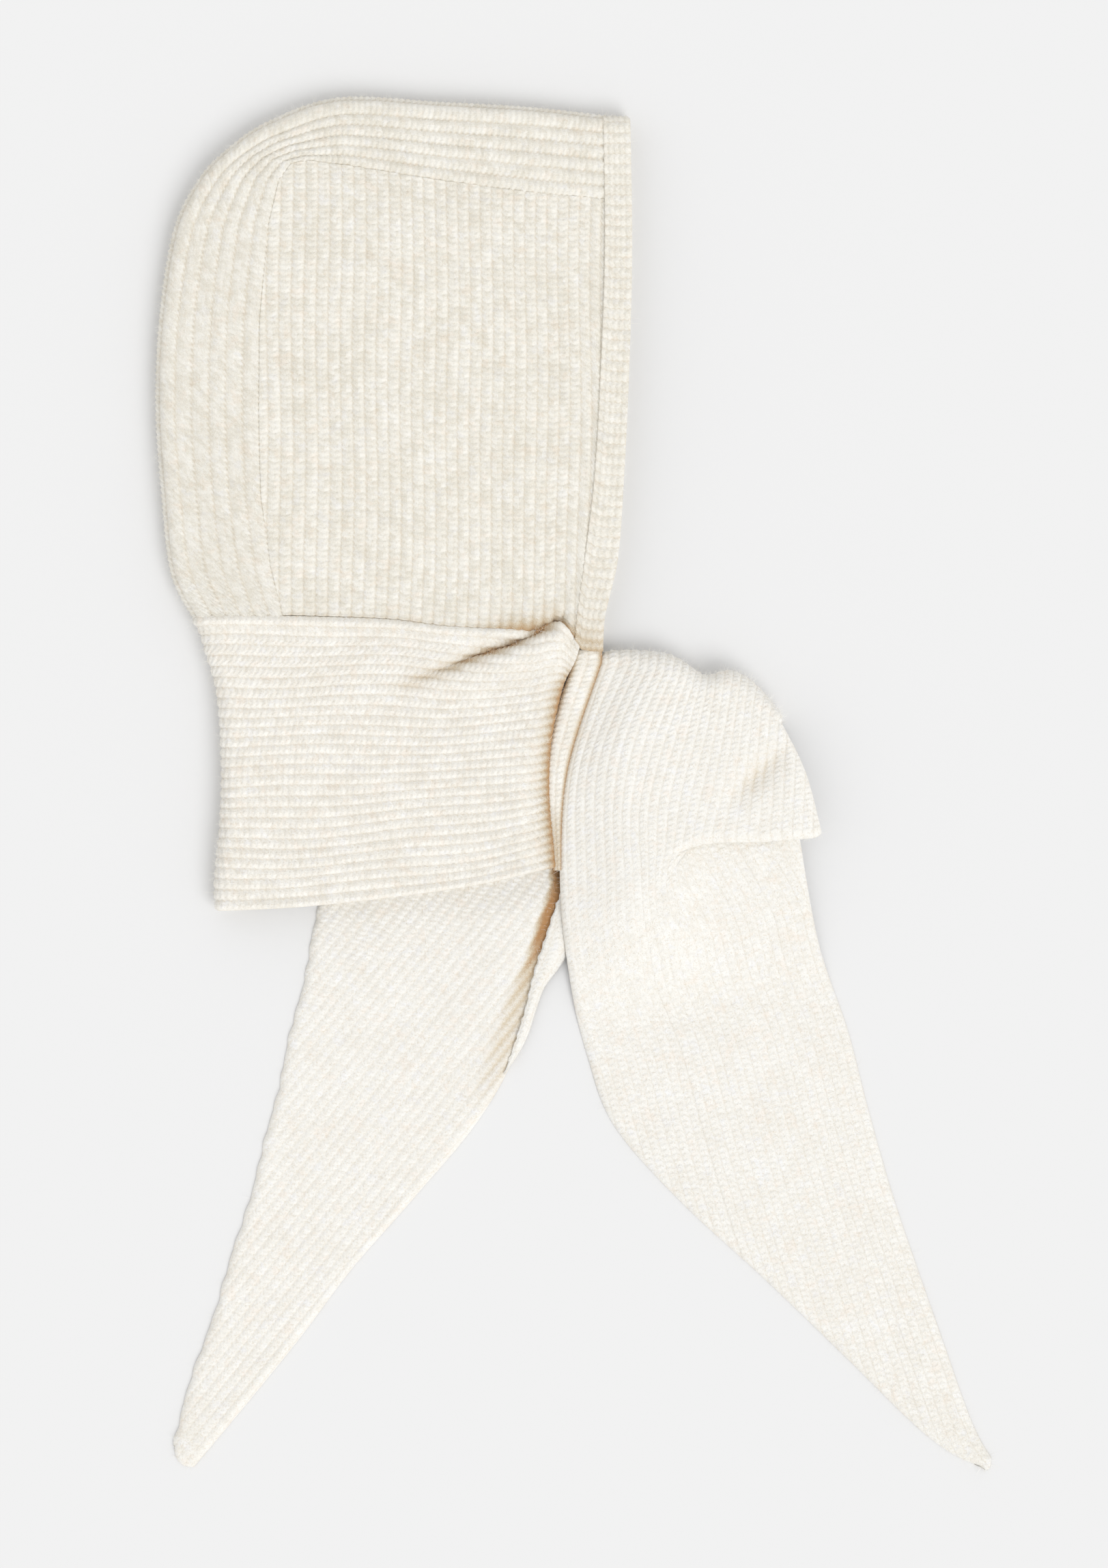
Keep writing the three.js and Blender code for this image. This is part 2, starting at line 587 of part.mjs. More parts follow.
/** The two cords of turned-in edge that show between the collar's front end and the wing. */
function throatEdge() {
  const place = (w, t) => {
    const y = lerp(-throatEdgeTop, hemY(0) + throatEdgeTop, w);
    const left = collarX("front", (neckY(0) - y) / (neckY(0) - hemY(0))) + 2 * seamGap;
    const right = track(wingLeft, "y", "x", y) - 3 * seamGap;
    return new THREE.Vector3(lerp(left, right, t), y, creaseLevel);
  };
  return knitPiece({ name: "throat_edge", place, along: even(10), ribs: 2, inside: 2, side: 1, relief: throatEdgeRib });
}

const group = new THREE.Group();
group.add(
  crownGusset(),
  hoodSide("hood_side_upper", upperLevel, true),
  hoodSide("hood_side_lower", lowerLevel, false),
  faceBand(),
  neckCollar(),
  tailOver(),
  tailUnder(),
  throatEdge(),
);

// The origin is the middle of the flattened hood, on the surface.
const bounds = new THREE.Box3().setFromObject(group);
const centre = bounds.getCenter(new THREE.Vector3());
group.position.set(-centre.x, -centre.y, -bounds.min.z);

export default group;
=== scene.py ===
import bpy
import numpy as np
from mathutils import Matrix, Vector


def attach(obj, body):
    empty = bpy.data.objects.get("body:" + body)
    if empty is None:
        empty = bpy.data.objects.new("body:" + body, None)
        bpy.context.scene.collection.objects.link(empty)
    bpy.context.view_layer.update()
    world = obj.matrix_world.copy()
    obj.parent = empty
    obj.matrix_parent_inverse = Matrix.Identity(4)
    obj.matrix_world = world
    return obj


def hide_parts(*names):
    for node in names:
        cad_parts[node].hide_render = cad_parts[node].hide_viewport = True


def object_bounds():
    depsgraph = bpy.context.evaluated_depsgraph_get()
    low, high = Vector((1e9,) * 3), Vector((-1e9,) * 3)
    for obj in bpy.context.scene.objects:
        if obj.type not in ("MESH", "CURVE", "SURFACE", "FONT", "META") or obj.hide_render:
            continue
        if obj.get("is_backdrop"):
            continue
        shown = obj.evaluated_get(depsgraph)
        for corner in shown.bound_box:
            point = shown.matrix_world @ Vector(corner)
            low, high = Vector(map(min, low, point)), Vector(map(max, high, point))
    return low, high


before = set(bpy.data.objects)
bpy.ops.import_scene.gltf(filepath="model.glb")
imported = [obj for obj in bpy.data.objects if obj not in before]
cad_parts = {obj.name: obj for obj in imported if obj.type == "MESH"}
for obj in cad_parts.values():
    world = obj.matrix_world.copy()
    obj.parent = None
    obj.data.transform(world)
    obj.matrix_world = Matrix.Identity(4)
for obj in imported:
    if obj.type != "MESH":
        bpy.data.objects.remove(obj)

cad_low, cad_high = (np.array(corner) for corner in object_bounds())


# The hood's two sides.
# Each side of the hood is one panel of chunky ribbed knit in cream melange wool, its ribs upright. The panels
# are sewn to the crown gusset, the face band and the neck collar; the lower one lies on the surface.

# Metres, from the throat, where hood, collar and tails meet. X runs to the face, Y to the crown, Z up.
tail_reach = 0.228
tail_over_length = 0.458
throat = np.array([cad_high[0] - tail_reach, cad_low[1] + tail_over_length, 0.0])

knit = 0.0036  # thickness of the ribbed knit
seam_gap = -0.0004  # two sewn pieces run this far into each other
layer_gap = 0.0005
rib_height = 0.00068  # how far a rib stands above its groove
full_relief = 0.0006  # lower ribs than this carry lower stitches
course = 0.0032  # from one row of stitches to the next
stitch_height = 0.0008  # how far each stitch of a rib bulges
sway, lag = 0.055, 0.4  # of each stitch: the zigzag in ribs, and the lag at its sides in courses
hood_rib = 0.0064
side_rib = hood_rib + 0.0004  # at the back, before the ribs close up towards the face

hood_depth = 0.264
hood_height = 0.302
face_forward = 0.03
back_x = face_forward - hood_depth
lie_loft = 0.009  # clear height between the two sides at the folds
hood_swell = 0.007
band_width = 0.016
collar_width = 0.212
collar_height = 0.16
crease_width = 0.018
collar_ridge = 0.0065  # height of the collar's slanting fold, and depth of the groove behind it
collar_groove = 0.0055
fold_crest = 0.004  # how far the fold's crest lies below the groove line
fold_widths = (0.016, 0.0035)  # of the fold, below its crest and above it
groove_offset, groove_width = 0.002, 0.005
tail_tuck = 0.034
tail_clear = 0.016  # the layer over the lower tail rises from this far above its tucked end
tail_under_left = 0.636  # the lower tail's left side at the hem, in shares of the tail's reach
crease_lift = 0.0009  # spare height of the upper layer where it is pressed down at the throat

floor_level = knit / 2
raised_level = floor_level + knit + layer_gap
lie_level = floor_level + knit + lie_loft
crease_level = raised_level + knit + layer_gap + crease_lift

# The gusset's fold (out) and its seam to the side (in): shares of the hood's depth and height.
gusset_rows = np.array([
    # out x, out y, in x, in y
    (0.939, 0.961, 0.939, 0.806),
    (0.78, 0.976, 0.78, 0.818),
    (0.6, 0.985, 0.606, 0.838),
    (0.379, 0.993, 0.398, 0.868),
    (0.23, 0.947, 0.325, 0.876),
    (0.148, 0.896, 0.288, 0.872),
    (0.092, 0.844, 0.262, 0.842),
    (0.04, 0.752, 0.24, 0.76),
    (0.01, 0.59, 0.222, 0.586),
    (0.003, 0.43, 0.22, 0.42),
    (0.014, 0.28, 0.224, 0.27),
    (0.034, 0.13, 0.244, 0.14),
    (0.081, 0.049, 0.269, 0.051),
])
gusset_corner = 5  # the row where the side's top edge turns down into its back edge
# Height of the neck seam by depth; setback and width of the face band by height; swell of the side by height.
neck_rows = np.array([(0, 0.048), (0.081, 0.049), (0.19, 0.05), (0.485, 0.043), (0.617, 0.03),
                      (0.78, 0.026), (0.843, 0.034), (0.868, 0.014), (0.894, -0.008), (1, -0.01)])
face_rows = np.array([(0, 0.066, 0.95), (0.05, 0.062, 0.93), (0.15, 0.036, 1.1), (0.3, 0.023, 0.98),
                      (0.5, 0.012, 0.94), (0.72, 0.006, 0.9), (0.97, 0.01, 0.88)])
swell_rows = np.array([(-0.53, 0.55), (-0.25, 0.7), (0, 0.5), (0.35, 1), (0.7, 0.95), (0.9, 0.5), (1, 0.2)])
# The collar's nape fold and front end behind the throat, by height below the neck seam; the hem by width.
collar_rows = np.array([(0, 1, 0), (0.1, 0.979, 0.014), (0.25, 0.946, 0.045), (0.5, 0.932, 0.077),
                        (0.7, 0.936, 0.078), (0.9, 0.95, 0.066), (1, 0.948, 0.061)])
hem_rows = np.array([(0, 0.768), (0.06, 0.77), (0.29, 0.835), (0.68, 0.9), (0.95, 0.92), (1, 0.92)])


def ease(value, start, end):
    """A smooth step: 0 up to start, 1 from end on, and share * share * (3 - 2 * share) of the way between."""
    share = np.clip((value - start) / (end - start), 0, 1)
    return share * share * (3 - 2 * share)


def mix(a, b, share):
    """The point at that share of the straight way from a to b."""
    return a + (b - a) * share


def bell(distance, width):
    """A bell curve, 1 in the middle: e to the power of minus the square of the distance in widths."""
    return np.exp(-((distance / width) ** 2))


def track(rows, column, at):
    """The smooth curve of one column over the first: cubics, sloped at each row as the line past it."""
    key, value = rows[:, 0], rows[:, column]
    after = np.minimum(np.arange(len(key)) + 1, len(key) - 1)
    before = np.maximum(np.arange(len(key)) - 1, 0)
    slope = (value[after] - value[before]) / (key[after] - key[before])
    i = np.clip(np.searchsorted(key, at) - 1, 0, len(key) - 2)
    span = key[i + 1] - key[i]
    share = np.clip((at - key[i]) / span, 0, 1)
    rest = 1 - share
    ends = value[i] * (1 + 2 * share) * rest**2 + value[i + 1] * (3 - 2 * share) * share**2
    return ends + span * share * rest * (slope[i] * rest - slope[i + 1] * share)


def along(points, share, straight=False):
    """The point at a share of the way through a list, on a Catmull-Rom curve or straight between points."""
    last = len(points) - 1
    at = np.clip(share, 0, 1) * last
    i = np.minimum(np.floor(at), last - 1).astype(int)
    s = at - i
    if straight:
        weights = (0 * s, 1 - s, s, 0 * s)
    else:
        weights = (-s / 2 + s**2 - s**3 / 2, 1 - 2.5 * s**2 + 1.5 * s**3,
                   s / 2 + 2 * s**2 - 1.5 * s**3, (s**3 - s**2) / 2)
    total = 0
    for k, point in enumerate(points):
        share_of_k = sum(w * (np.clip(i + n - 1, 0, last) == k) for n, w in enumerate(weights))
        total = total + share_of_k[..., None] * point
    return total


def neck_y(x):
    """Height of the neck seam at x: a share of the hood's height, by its rows."""
    return hood_height * track(neck_rows, 1, (x - back_x) / hood_depth)


def face_x(y):
    """Place of the face edge at y: set back by a share of the hood's depth, by its rows."""
    return face_forward - hood_depth * track(face_rows, 1, y / hood_height)


def band_seam_x(y):
    """Place of the band's seam to the side at y: a share of its width behind the face edge."""
    return face_x(y) - band_width * track(face_rows, 2, y / hood_height)


def collar_x(column, down):
    """The nape fold (column 1) or front end (column 2): a share of the collar's width behind the throat."""
    return -collar_width * track(collar_rows, column, down)


def hem_y(x):
    """Height of the hem at x: a share of the collar's height, by its rows, below the throat."""
    return -collar_height * track(hem_rows, 1, -x / collar_width)


def lower_level(x, y):
    """Height of the layer on the surface: flat, and a smooth step up where the lower tail runs beneath."""
    over_y = ease(hem_y(x) + tail_tuck + tail_clear - y, 0, 0.012)
    left = -tail_under_left * tail_reach
    over_x = ease(x, left - 0.048, left - 0.03) * (1 - ease(x, -0.002, 0.016))
    return mix(floor_level, raised_level, over_x * over_y)


# The groove behind the collar's slanting fold, from where it begins to the peak at the throat
groove_line = np.array([(-0.11, -0.025), (-0.0868, -0.0195), (-0.0717, -0.0145), (-0.0566, -0.0088),
                        (-0.0415, -0.0042), (-0.0264, 0.0025), (-0.015, 0.008), (0.01, 0.02)])


def groove_distance(x, y):
    """How far a point lies above the groove line, and how strong the fold is there."""
    return y - track(groove_line, 1, x), ease(x, -0.1, -0.035) * (1 - ease(x, -0.013, -0.004))


def upper_level(x, y):
    """Height of the upper side: a sine across its depth times the swell rows, plus the collar's fold, a bell
    below the groove line less a narrow one on it, eased down to the crease at the throat."""
    across = np.sin(np.pi * np.clip((x - back_x) / hood_depth, 0, 1)) ** 0.7
    swell = hood_swell * across * track(swell_rows, 1, y / hood_height)
    past, strength = groove_distance(x, y)
    beyond = past + fold_crest
    fold = np.where(past < -fold_crest, bell(beyond, fold_widths[0]), bell(beyond, fold_widths[1]))
    ridge = strength * (collar_ridge * fold - collar_groove * bell(past - groove_offset, groove_width))
    end = collar_x(2, np.clip(-y / collar_height, 0, 1))
    crease = ease(x, end - crease_width, end) * ease(-y, -0.012, 0.016)
    return mix(lie_level + swell + ridge, crease_level, crease)


def stack(x, y, z):
    """Points from three coordinates, each an array or one number for all."""
    return np.stack(np.broadcast_arrays(x, y, z), axis=-1)


def even(share):
    """The slack of stations that are the same distance apart all along: 1."""
    return 1 + 0 * share


def stations(place, axis, step, edge, slack):
    """Shares from 0 to 1 along one axis of a piece, `step` metres of its real length apart, wider by `slack`,
    with three short steps at either end for the rounding of the edge."""
    fine = np.linspace(0, 1, 801)
    few = np.linspace(0.05, 0.95, 7)
    w, t = np.meshgrid(fine, few, indexing="ij") if axis == 0 else np.meshgrid(few, fine, indexing="ij")
    run = np.linalg.norm(np.diff(place(w, t), axis=axis), axis=2).mean(axis=1 - axis)
    length = np.concatenate([[0], np.cumsum(run)])
    count = np.concatenate([[0], np.cumsum(run / step / slack((fine[1:] + fine[:-1]) / 2))])
    spread = np.interp(np.linspace(0, count[-1], int(count[-1]) + 1), count, length)
    near = edge * np.array([0, 0.15, 0.5, 1])
    inside = spread[(spread > edge + step / 2) & (spread < length[-1] - edge - step / 2)]
    return np.interp(np.concatenate([near, inside, length[-1] - near[::-1]]), length, fine)


def rib_shape(u, v):
    """Height of the knit from 0 to 1, u in ribs and v in courses. Each rib is a column that falls off with the
    cube of the distance from its middle, and each stitch a pair of legs, a cosine along v that lags at the
    rib's sides."""
    across = np.abs(2 * ((u + sway * np.sin(2 * np.pi * v)) % 1) - 1)
    column = (1 - across**3) ** 0.8
    legs = 0.5 + 0.5 * np.cos(2 * np.pi * (v - lag * across))
    return column, column * legs


def add_object(name, data):
    """A new object with that data, in the scene."""
    made = bpy.data.objects.new(name, data)
    bpy.context.collection.objects.link(made)
    return made


def add_material(name):
    """A new material with its nodes, their links and its shader."""
    material = bpy.data.materials.new(name)
    material.use_nodes = True
    nodes = material.node_tree.nodes
    return material, nodes, material.node_tree.links, nodes["Principled BSDF"]


def set_inputs(node, values):
    """Sets inputs of a node, by name."""
    for name, value in values.items():
        node.inputs[name].default_value = value


surfaces = {}  # points and normals of each piece's outside, for the loose fibres
free, sewn = 0.0, 0.7  # where in its rounding an edge begins; sewn ones keep most of their thickness
thinnest = 0.15  # the least share of the thickness at any edge


def knit_wall(name, place, steps, stitch, edges, side=1, wall=knit, relief=rib_height, closing=0,
              rounding=0.6, extra=None, crease=None, edge=0.6 * knit, slack=(even, even)):
    """A closed wall of knit round the middle surface place(w, t), its stations `steps` apart along w and t.
    The outside stands half the wall off along the normals, plus the rib relief, and the inside half the wall
    the other way on every third station. Both round off by a quarter ellipse, `rounding` walls wide, towards
    the first and last w and t, which `edges` calls free or sewn, and meet at the middle surface, or at the
    inside where `closing` is 1. stitch gives the rib and course numbers."""
    def grid(w, t):
        """Points, normals and running lengths of the middle surface, and the share of its thickness there."""
        wg, tg = np.meshgrid(w, t, indexing="ij")
        p = place(wg, tg)
        normal = np.cross(np.gradient(p, axis=0), np.gradient(p, axis=1))
        normal *= side / np.maximum(np.linalg.norm(normal, axis=2, keepdims=True), 1e-12)
        moves = [np.linalg.norm(np.diff(p, axis=a), axis=2) for a in (0, 1)]
        run = [np.insert(np.cumsum(move, axis=a), 0, 0, axis=a) for a, move in enumerate(moves)]
        rims = (run[0], run[0][-1:] - run[0], run[1], run[1][:, -1:] - run[1])
        starts = [rim / (rounding * wall) + start for rim, start in zip(rims, edges)]
        off = np.clip(np.minimum.reduce(starts), 0, 1)
        return wg, tg, p, normal, run, np.maximum(np.sqrt(1 - (1 - off) ** 2), thinnest)

    w, t = (stations(place, axis, steps[axis], edge, slack[axis]) for axis in (0, 1))
    wg, tg, p, normal, run, round_off = grid(w, t)
    u, v = stitch(wg, tg, p, run)
    column, legs = rib_shape(u, v)
    facing = ease(normal[..., 2], -0.6, 0)
    if callable(relief):
        relief = relief(wg, tg, p, run)
    stitches = stitch_height * np.minimum(relief / full_relief, 1)
    height = wall / 2 + relief * (column - 1 + 0.5 * facing) + stitches * facing * (legs - 0.5)
    if extra is not None:
        height = height + extra(wg, tg, p)
    outside = p + normal * (height * (round_off - closing * (1 - round_off)))[..., None]
    # crease gives the painted shade in the creases, kept in the crease attribute of the outside points.
    painted_crease_shade = np.zeros(u.shape) if crease is None else crease(wg, tg, p, run) + 0 * u

    few_w = w[np.unique(np.linspace(0, len(w) - 1, len(w) // 3 + 2).round().astype(int))]
    few_t = t[np.unique(np.linspace(0, len(t) - 1, len(t) // 3 + 2).round().astype(int))]
    wi, ti, q, inward, run_i, round_i = grid(few_w, few_t)
    inside = q - inward * (wall / 2 * (round_i + closing * (1 - round_i)))[..., None]
    ui, vi = stitch(wi, ti, q, run_i)

    a = np.arange(u.size).reshape(u.shape)
    b = u.size + np.arange(ui.size).reshape(ui.shape)

    def quads(n):
        """The four-sided faces of a grid of point numbers."""
        return np.stack([n[:-1, :-1], n[1:, :-1], n[1:, 1:], n[:-1, 1:]], axis=-1).reshape(-1, 4)

    def rim(a, b):
        """Triangles between edges of unlike count: each long step takes the nearest point of the other."""
        near = np.round((np.arange(len(a) - 1) + 0.5) / (len(a) - 1) * (len(b) - 1)).astype(int)
        turn = np.searchsorted(near, np.arange(len(b) - 1), side="right")
        return np.concatenate([np.stack([a[:-1], a[1:], b[near]], 1), np.stack([a[turn], b[1:], b[:-1]], 1)])

    faces = np.concatenate([quads(a), quads(b)[:, ::-1]])
    rims = np.concatenate([rim(a[0], b[0]), rim(a[:, -1], b[:, -1]),
                           rim(a[-1, ::-1], b[-1, ::-1]), rim(a[::-1, 0], b[::-1, 0])])
    if side < 0:
        faces, rims = faces[:, ::-1], rims[:, ::-1]
    points = np.concatenate([outside.reshape(-1, 3), inside.reshape(-1, 3)]) + throat
    points[:, 2] = np.maximum(points[:, 2], 0)

    mesh = bpy.data.meshes.new(name)
    mesh.from_pydata(points.tolist(), [], faces.tolist() + rims.tolist())
    corner = np.zeros(len(mesh.loops), dtype=np.int32)
    mesh.loops.foreach_get("vertex_index", corner)
    numbers = np.stack([np.concatenate([u.ravel(), ui.ravel()]), np.concatenate([v.ravel(), vi.ravel()])], 1)
    mesh.uv_layers.new(name="knit").data.foreach_set("uv", numbers[corner].astype(np.float32).ravel())
    depth = np.concatenate([painted_crease_shade.ravel(), np.zeros(ui.size)]).astype(np.float32)
    mesh.attributes.new("crease", "FLOAT", "POINT").data.foreach_set("value", depth)
    mesh.shade_smooth()
    piece = add_object(name, mesh)
    surfaces[name] = (outside.reshape(-1, 3) + throat, normal.reshape(-1, 3))
    return piece


def wool(name, light, dark, groove, crease, groove_shade_depth, speckle=0.2):
    """Melange wool knit. The colour of each stitch is picked between light and dark by its own random number
    and by noises, with random flecks of the groove colour. Painted shade darkens the grooves between ribs and
    the deep creases to their own tans, broken up by flecks. Where the crease attribute is negative the knit is
    stretched and the painted shade in its grooves fades, as they close."""
    material, nodes, links, shader = add_material(name)

    def put(socket, value):
        """Links a socket to another, or sets it to a plain value."""
        if isinstance(value, bpy.types.NodeSocket):
            links.new(value, socket)
        else:
            socket.default_value = value

    def add(kind, values=(), output=0, **settings):
        """One output of a new node, from its settings and its inputs as pairs of key and value."""
        node = nodes.new("ShaderNode" + kind)
        for name, setting in settings.items():
            setattr(node, name, setting)
        for key, value in values:
            put(node.inputs[key], value)
        return node.outputs[output]

    def math(kind, a, b=0.0, c=0.0):
        """The result of one math node."""
        return add("Math", enumerate((a, b, c)), operation=kind)

    def times(a, b):
        """The product of two values."""
        return math("MULTIPLY", a, b)

    def times_plus(a, b, c):
        """The product of two values, plus a third."""
        return math("MULTIPLY_ADD", a, b, c)

    def step(value, start, end, low=0.0, high=1.0):
        """A smooth step from low at start to high at end."""
        return add("MapRange", enumerate((value, start, end, low, high)), interpolation_type="SMOOTHSTEP")

    def blend(share, a, b, kind="MIX"):
        """The colour at a share of the way from a to b."""
        return add("Mix", ((0, share), (6, a), (7, b)), 2, data_type="RGBA", blend_type=kind)

    def noise(vector, scale, detail):
        """Soft noise at a place, finer with a larger scale."""
        return add("TexNoise", (("Vector", vector), ("Scale", scale), ("Detail", detail)), "Fac")

    where = add("TexCoord", output="Object")
    split = nodes.new("ShaderNodeSeparateXYZ")
    put(split.inputs[0], add("UVMap", output="UV", uv_map="knit"))
    ribs, courses = split.outputs[0], split.outputs[1]
    zigzag = times_plus(math("SINE", times(courses, 2 * np.pi)), sway, ribs)
    across = math("ABSOLUTE", times_plus(math("FRACT", zigzag), 2.0, -1.0))
    phase = times_plus(across, -lag, courses)
    legs = times_plus(math("COSINE", times(phase, 2 * np.pi)), 0.5, 0.5)

    # One random number for each leg of each stitch
    cell = add("CombineXYZ", enumerate((math("FLOOR", times(ribs, 2.0)), math("ROUND", phase))))
    chance = add("TexWhiteNoise", [("Vector", cell)], "Value", noise_dimensions="2D")
    strands = noise(add("CombineXYZ", enumerate((times(ribs, 9.0), times(phase, 2.2)))), 1.0, 3.0)
    flecks = noise(where, 1700.0, 2.0)
    blot = noise(where, 210.0, 3.0)
    patches = noise(where, 45.0, 3.0)

    # Each stitch lies between the light and the dark wool, and leans to the cool or the pink strand
    shade = times_plus(chance, 0.28, times(strands, 0.38))
    shade = times_plus(step(blot, 0.35, 0.65), 0.2, shade)
    shade = times_plus(step(patches, 0.3, 0.7), 0.16, shade)
    body = blend(step(shade, 0.15, 0.85), light, dark)
    body = blend(times(step(flecks, 0.42, 0.7), 0.5), body, light)
    cool = blend(1.0, body, (0.99, 1.0, 1.035, 1), "MULTIPLY")
    pink = blend(1.0, body, (1.005, 0.975, 0.955, 1), "MULTIPLY")
    tone = noise(where, 160.0, 2.0)
    body = blend(step(tone, 0.56, 0.7), blend(step(tone, 0.44, 0.3), body, cool), pink)
    body = blend(times(step(noise(where, 1150.0, 1.0), 0.54, 0.7), speckle), body, groove)
    # The crease attribute gives painted shade in the deep creases: first the groove colour, then the crease
    # colour.
    deep = add("Attribute", output="Fac", attribute_name="crease")
    # Painted shade in the grooves between the ribs: the groove colour, broken up by flecks, darkest between
    # stitches.
    painted_groove_shade = times(step(across, 0.7, 1.0), step(flecks, 0.3, 0.6, 0.5, 1.0))
    painted_groove_shade = times(painted_groove_shade, times_plus(legs, -0.6, 1.0))
    painted_groove_shade = times(painted_groove_shade, math("ADD", math("MINIMUM", deep, 0.0), 1.0))
    body = blend(times(painted_groove_shade, groove_shade_depth), body, groove)
    # The painted crease shade frays out along the rib grooves and the flecks.
    crease_shade_fringe = times_plus(across, 1.0, times_plus(flecks, 2.4, -1.7))
    deep = math("ADD", deep, times(times(deep, math("SUBTRACT", 1.0, deep)), crease_shade_fringe))
    body = blend(step(deep, 0.0, 0.6), body, groove)
    body = blend(step(deep, 0.4, 1.05), body, crease)
    put(shader.inputs["Base Color"], body)

    bulge = times(legs, times_plus(math("POWER", across, 2.0), -1.0, 1.0))
    height = math("ADD", times(bulge, 0.6), times(strands, 0.7))
    height = times_plus(flecks, 0.35, height)
    bump = add("Bump", (("Strength", 0.7), ("Distance", 0.0006), ("Height", height)))
    put(shader.inputs["Normal"], bump)
    set_inputs(shader, {"Roughness": 0.95, "Specular IOR Level": 0.15, "Sheen Weight": 0.25,
                        "Sheen Roughness": 0.6, "Sheen Tint": (1.0, 0.98, 0.94, 1.0)})
    return material


def finish_piece(piece, material, node):
    piece.data.materials.append(material)
    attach(piece, "root")
    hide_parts(node)


# Hood, collar and tails are one cream yarn, given three copies whose colours carry painted light: the hood's
# are the darkest. The groove and crease tans are painted shade.
hood_wool = wool("hood_wool", (0.895, 0.872, 0.807, 1), (0.74, 0.70, 0.605, 1),
                 (0.60, 0.50, 0.36, 1), (0.46, 0.28, 0.13, 1), groove_shade_depth=0.45)

gusset_fold = np.stack([back_x + hood_depth * gusset_rows[:, 0], hood_height * gusset_rows[:, 1]], 1)
gusset_seam = np.stack([back_x + hood_depth * gusset_rows[:, 2], hood_height * gusset_rows[:, 3]], 1)
gusset_fold[0, 0] = band_seam_x(gusset_fold[0, 1]) - seam_gap
gusset_seam[0, 0] = band_seam_x(gusset_seam[0, 1]) - seam_gap


def hood_side(level):
    """A four-sided patch between gusset, band and neck seam: the sum of the blends of facing edges, less that
    of the four corners, at the height that `level` gives."""
    top_seam, back_seam = gusset_seam[gusset_corner::-1], gusset_seam[:gusset_corner - 1:-1]
    front_top = gusset_seam[0, 1] - seam_gap
    front_foot = neck_y(band_seam_x(0.0)) + seam_gap

    def top(s):
        """Points of the edge along the gusset's seam."""
        x = mix(top_seam[0, 0], top_seam[-1, 0], s)
        return np.stack([x, np.interp(x, top_seam[:, 0], top_seam[:, 1]) - seam_gap], -1)

    def back(s):
        """Points of the edge at the back, along the same seam."""
        y = mix(back_seam[0, 1], back_seam[-1, 1], s)
        return np.stack([np.interp(y, back_seam[:, 1], back_seam[:, 0]) + seam_gap, y], -1)

    def front(s):
        """Points of the edge along the face band."""
        y = mix(front_foot, front_top, s)
        return np.stack([band_seam_x(y) - seam_gap, y], -1)

    def foot(s):
        """Points of the edge along the neck seam."""
        x = mix(gusset_seam[-1, 0] + seam_gap, band_seam_x(front_foot) - seam_gap, s)
        return np.stack([x, neck_y(x) + seam_gap], -1)

    def place(w, t):
        """The patch itself."""
        ww, tt = w[..., None], t[..., None]
        p = foot(t) * (1 - ww) + top(t) * ww + back(w) * (1 - tt) + front(w) * tt
        zero, one = np.zeros_like(w), np.ones_like(w)
        p = p - foot(zero) * (1 - tt) * (1 - ww) - foot(one) * tt * (1 - ww)
        p = p - top(zero) * (1 - tt) * ww - top(one) * tt * ww
        return stack(p[..., 0], p[..., 1], level(p[..., 0], p[..., 1]))

    return place


def side_stitch(w, t, p, run):
    """Upright ribs, a little closer towards the face, that fan out slightly at the foot."""
    x = (p[..., 0] - gusset_seam[gusset_corner, 0]) * (1 + 0.05 * ease(-p[..., 1], -0.1, 0.1))
    wave = 0.1 * np.sin(p[..., 1] / 0.023 + x / 0.03)
    return x / side_rib * (1 + 0.5 * x) + wave, run[0] / course


def side_crease_shade(w, t, p, run):
    """Painted tan shade at the foot near the throat, where the panel dips behind the collar's fold, and a thin
    line of it along the neck seam.
    """
    x = p[..., 0]
    up = p[..., 1] - neck_y(x)
    return 0.75 * np.exp(-up / 0.006) * ease(x, -0.065, -0.025) + 0.28 * np.exp(-up / 0.003)


upper_side = hood_side(upper_level)
hood_side_upper = knit_wall(
    "hood_side_upper_knit", upper_side, (course / 3, hood_rib / 6), side_stitch, (sewn,) * 4, side=-1,
    crease=side_crease_shade)
finish_piece(hood_side_upper, hood_wool, "hood_side_upper")

lower_side = hood_side(lower_level)
hood_side_lower = knit_wall(
    "hood_side_lower_knit", lower_side, (course, hood_rib / 4), side_stitch, (sewn,) * 4)
finish_piece(hood_side_lower, hood_wool, "hood_side_lower")


# The crown gusset.
# One long strip of the same ribbed knit runs from the brow over the crown and down the back of the head, its
# ribs along it. The flattened hood folds it in half, and the fold is the hood's outline.

gusset_rib = 0.0069
gusset_reliefs = (0.0005, 0.0014)  # height of its ribs at the seam and away from it


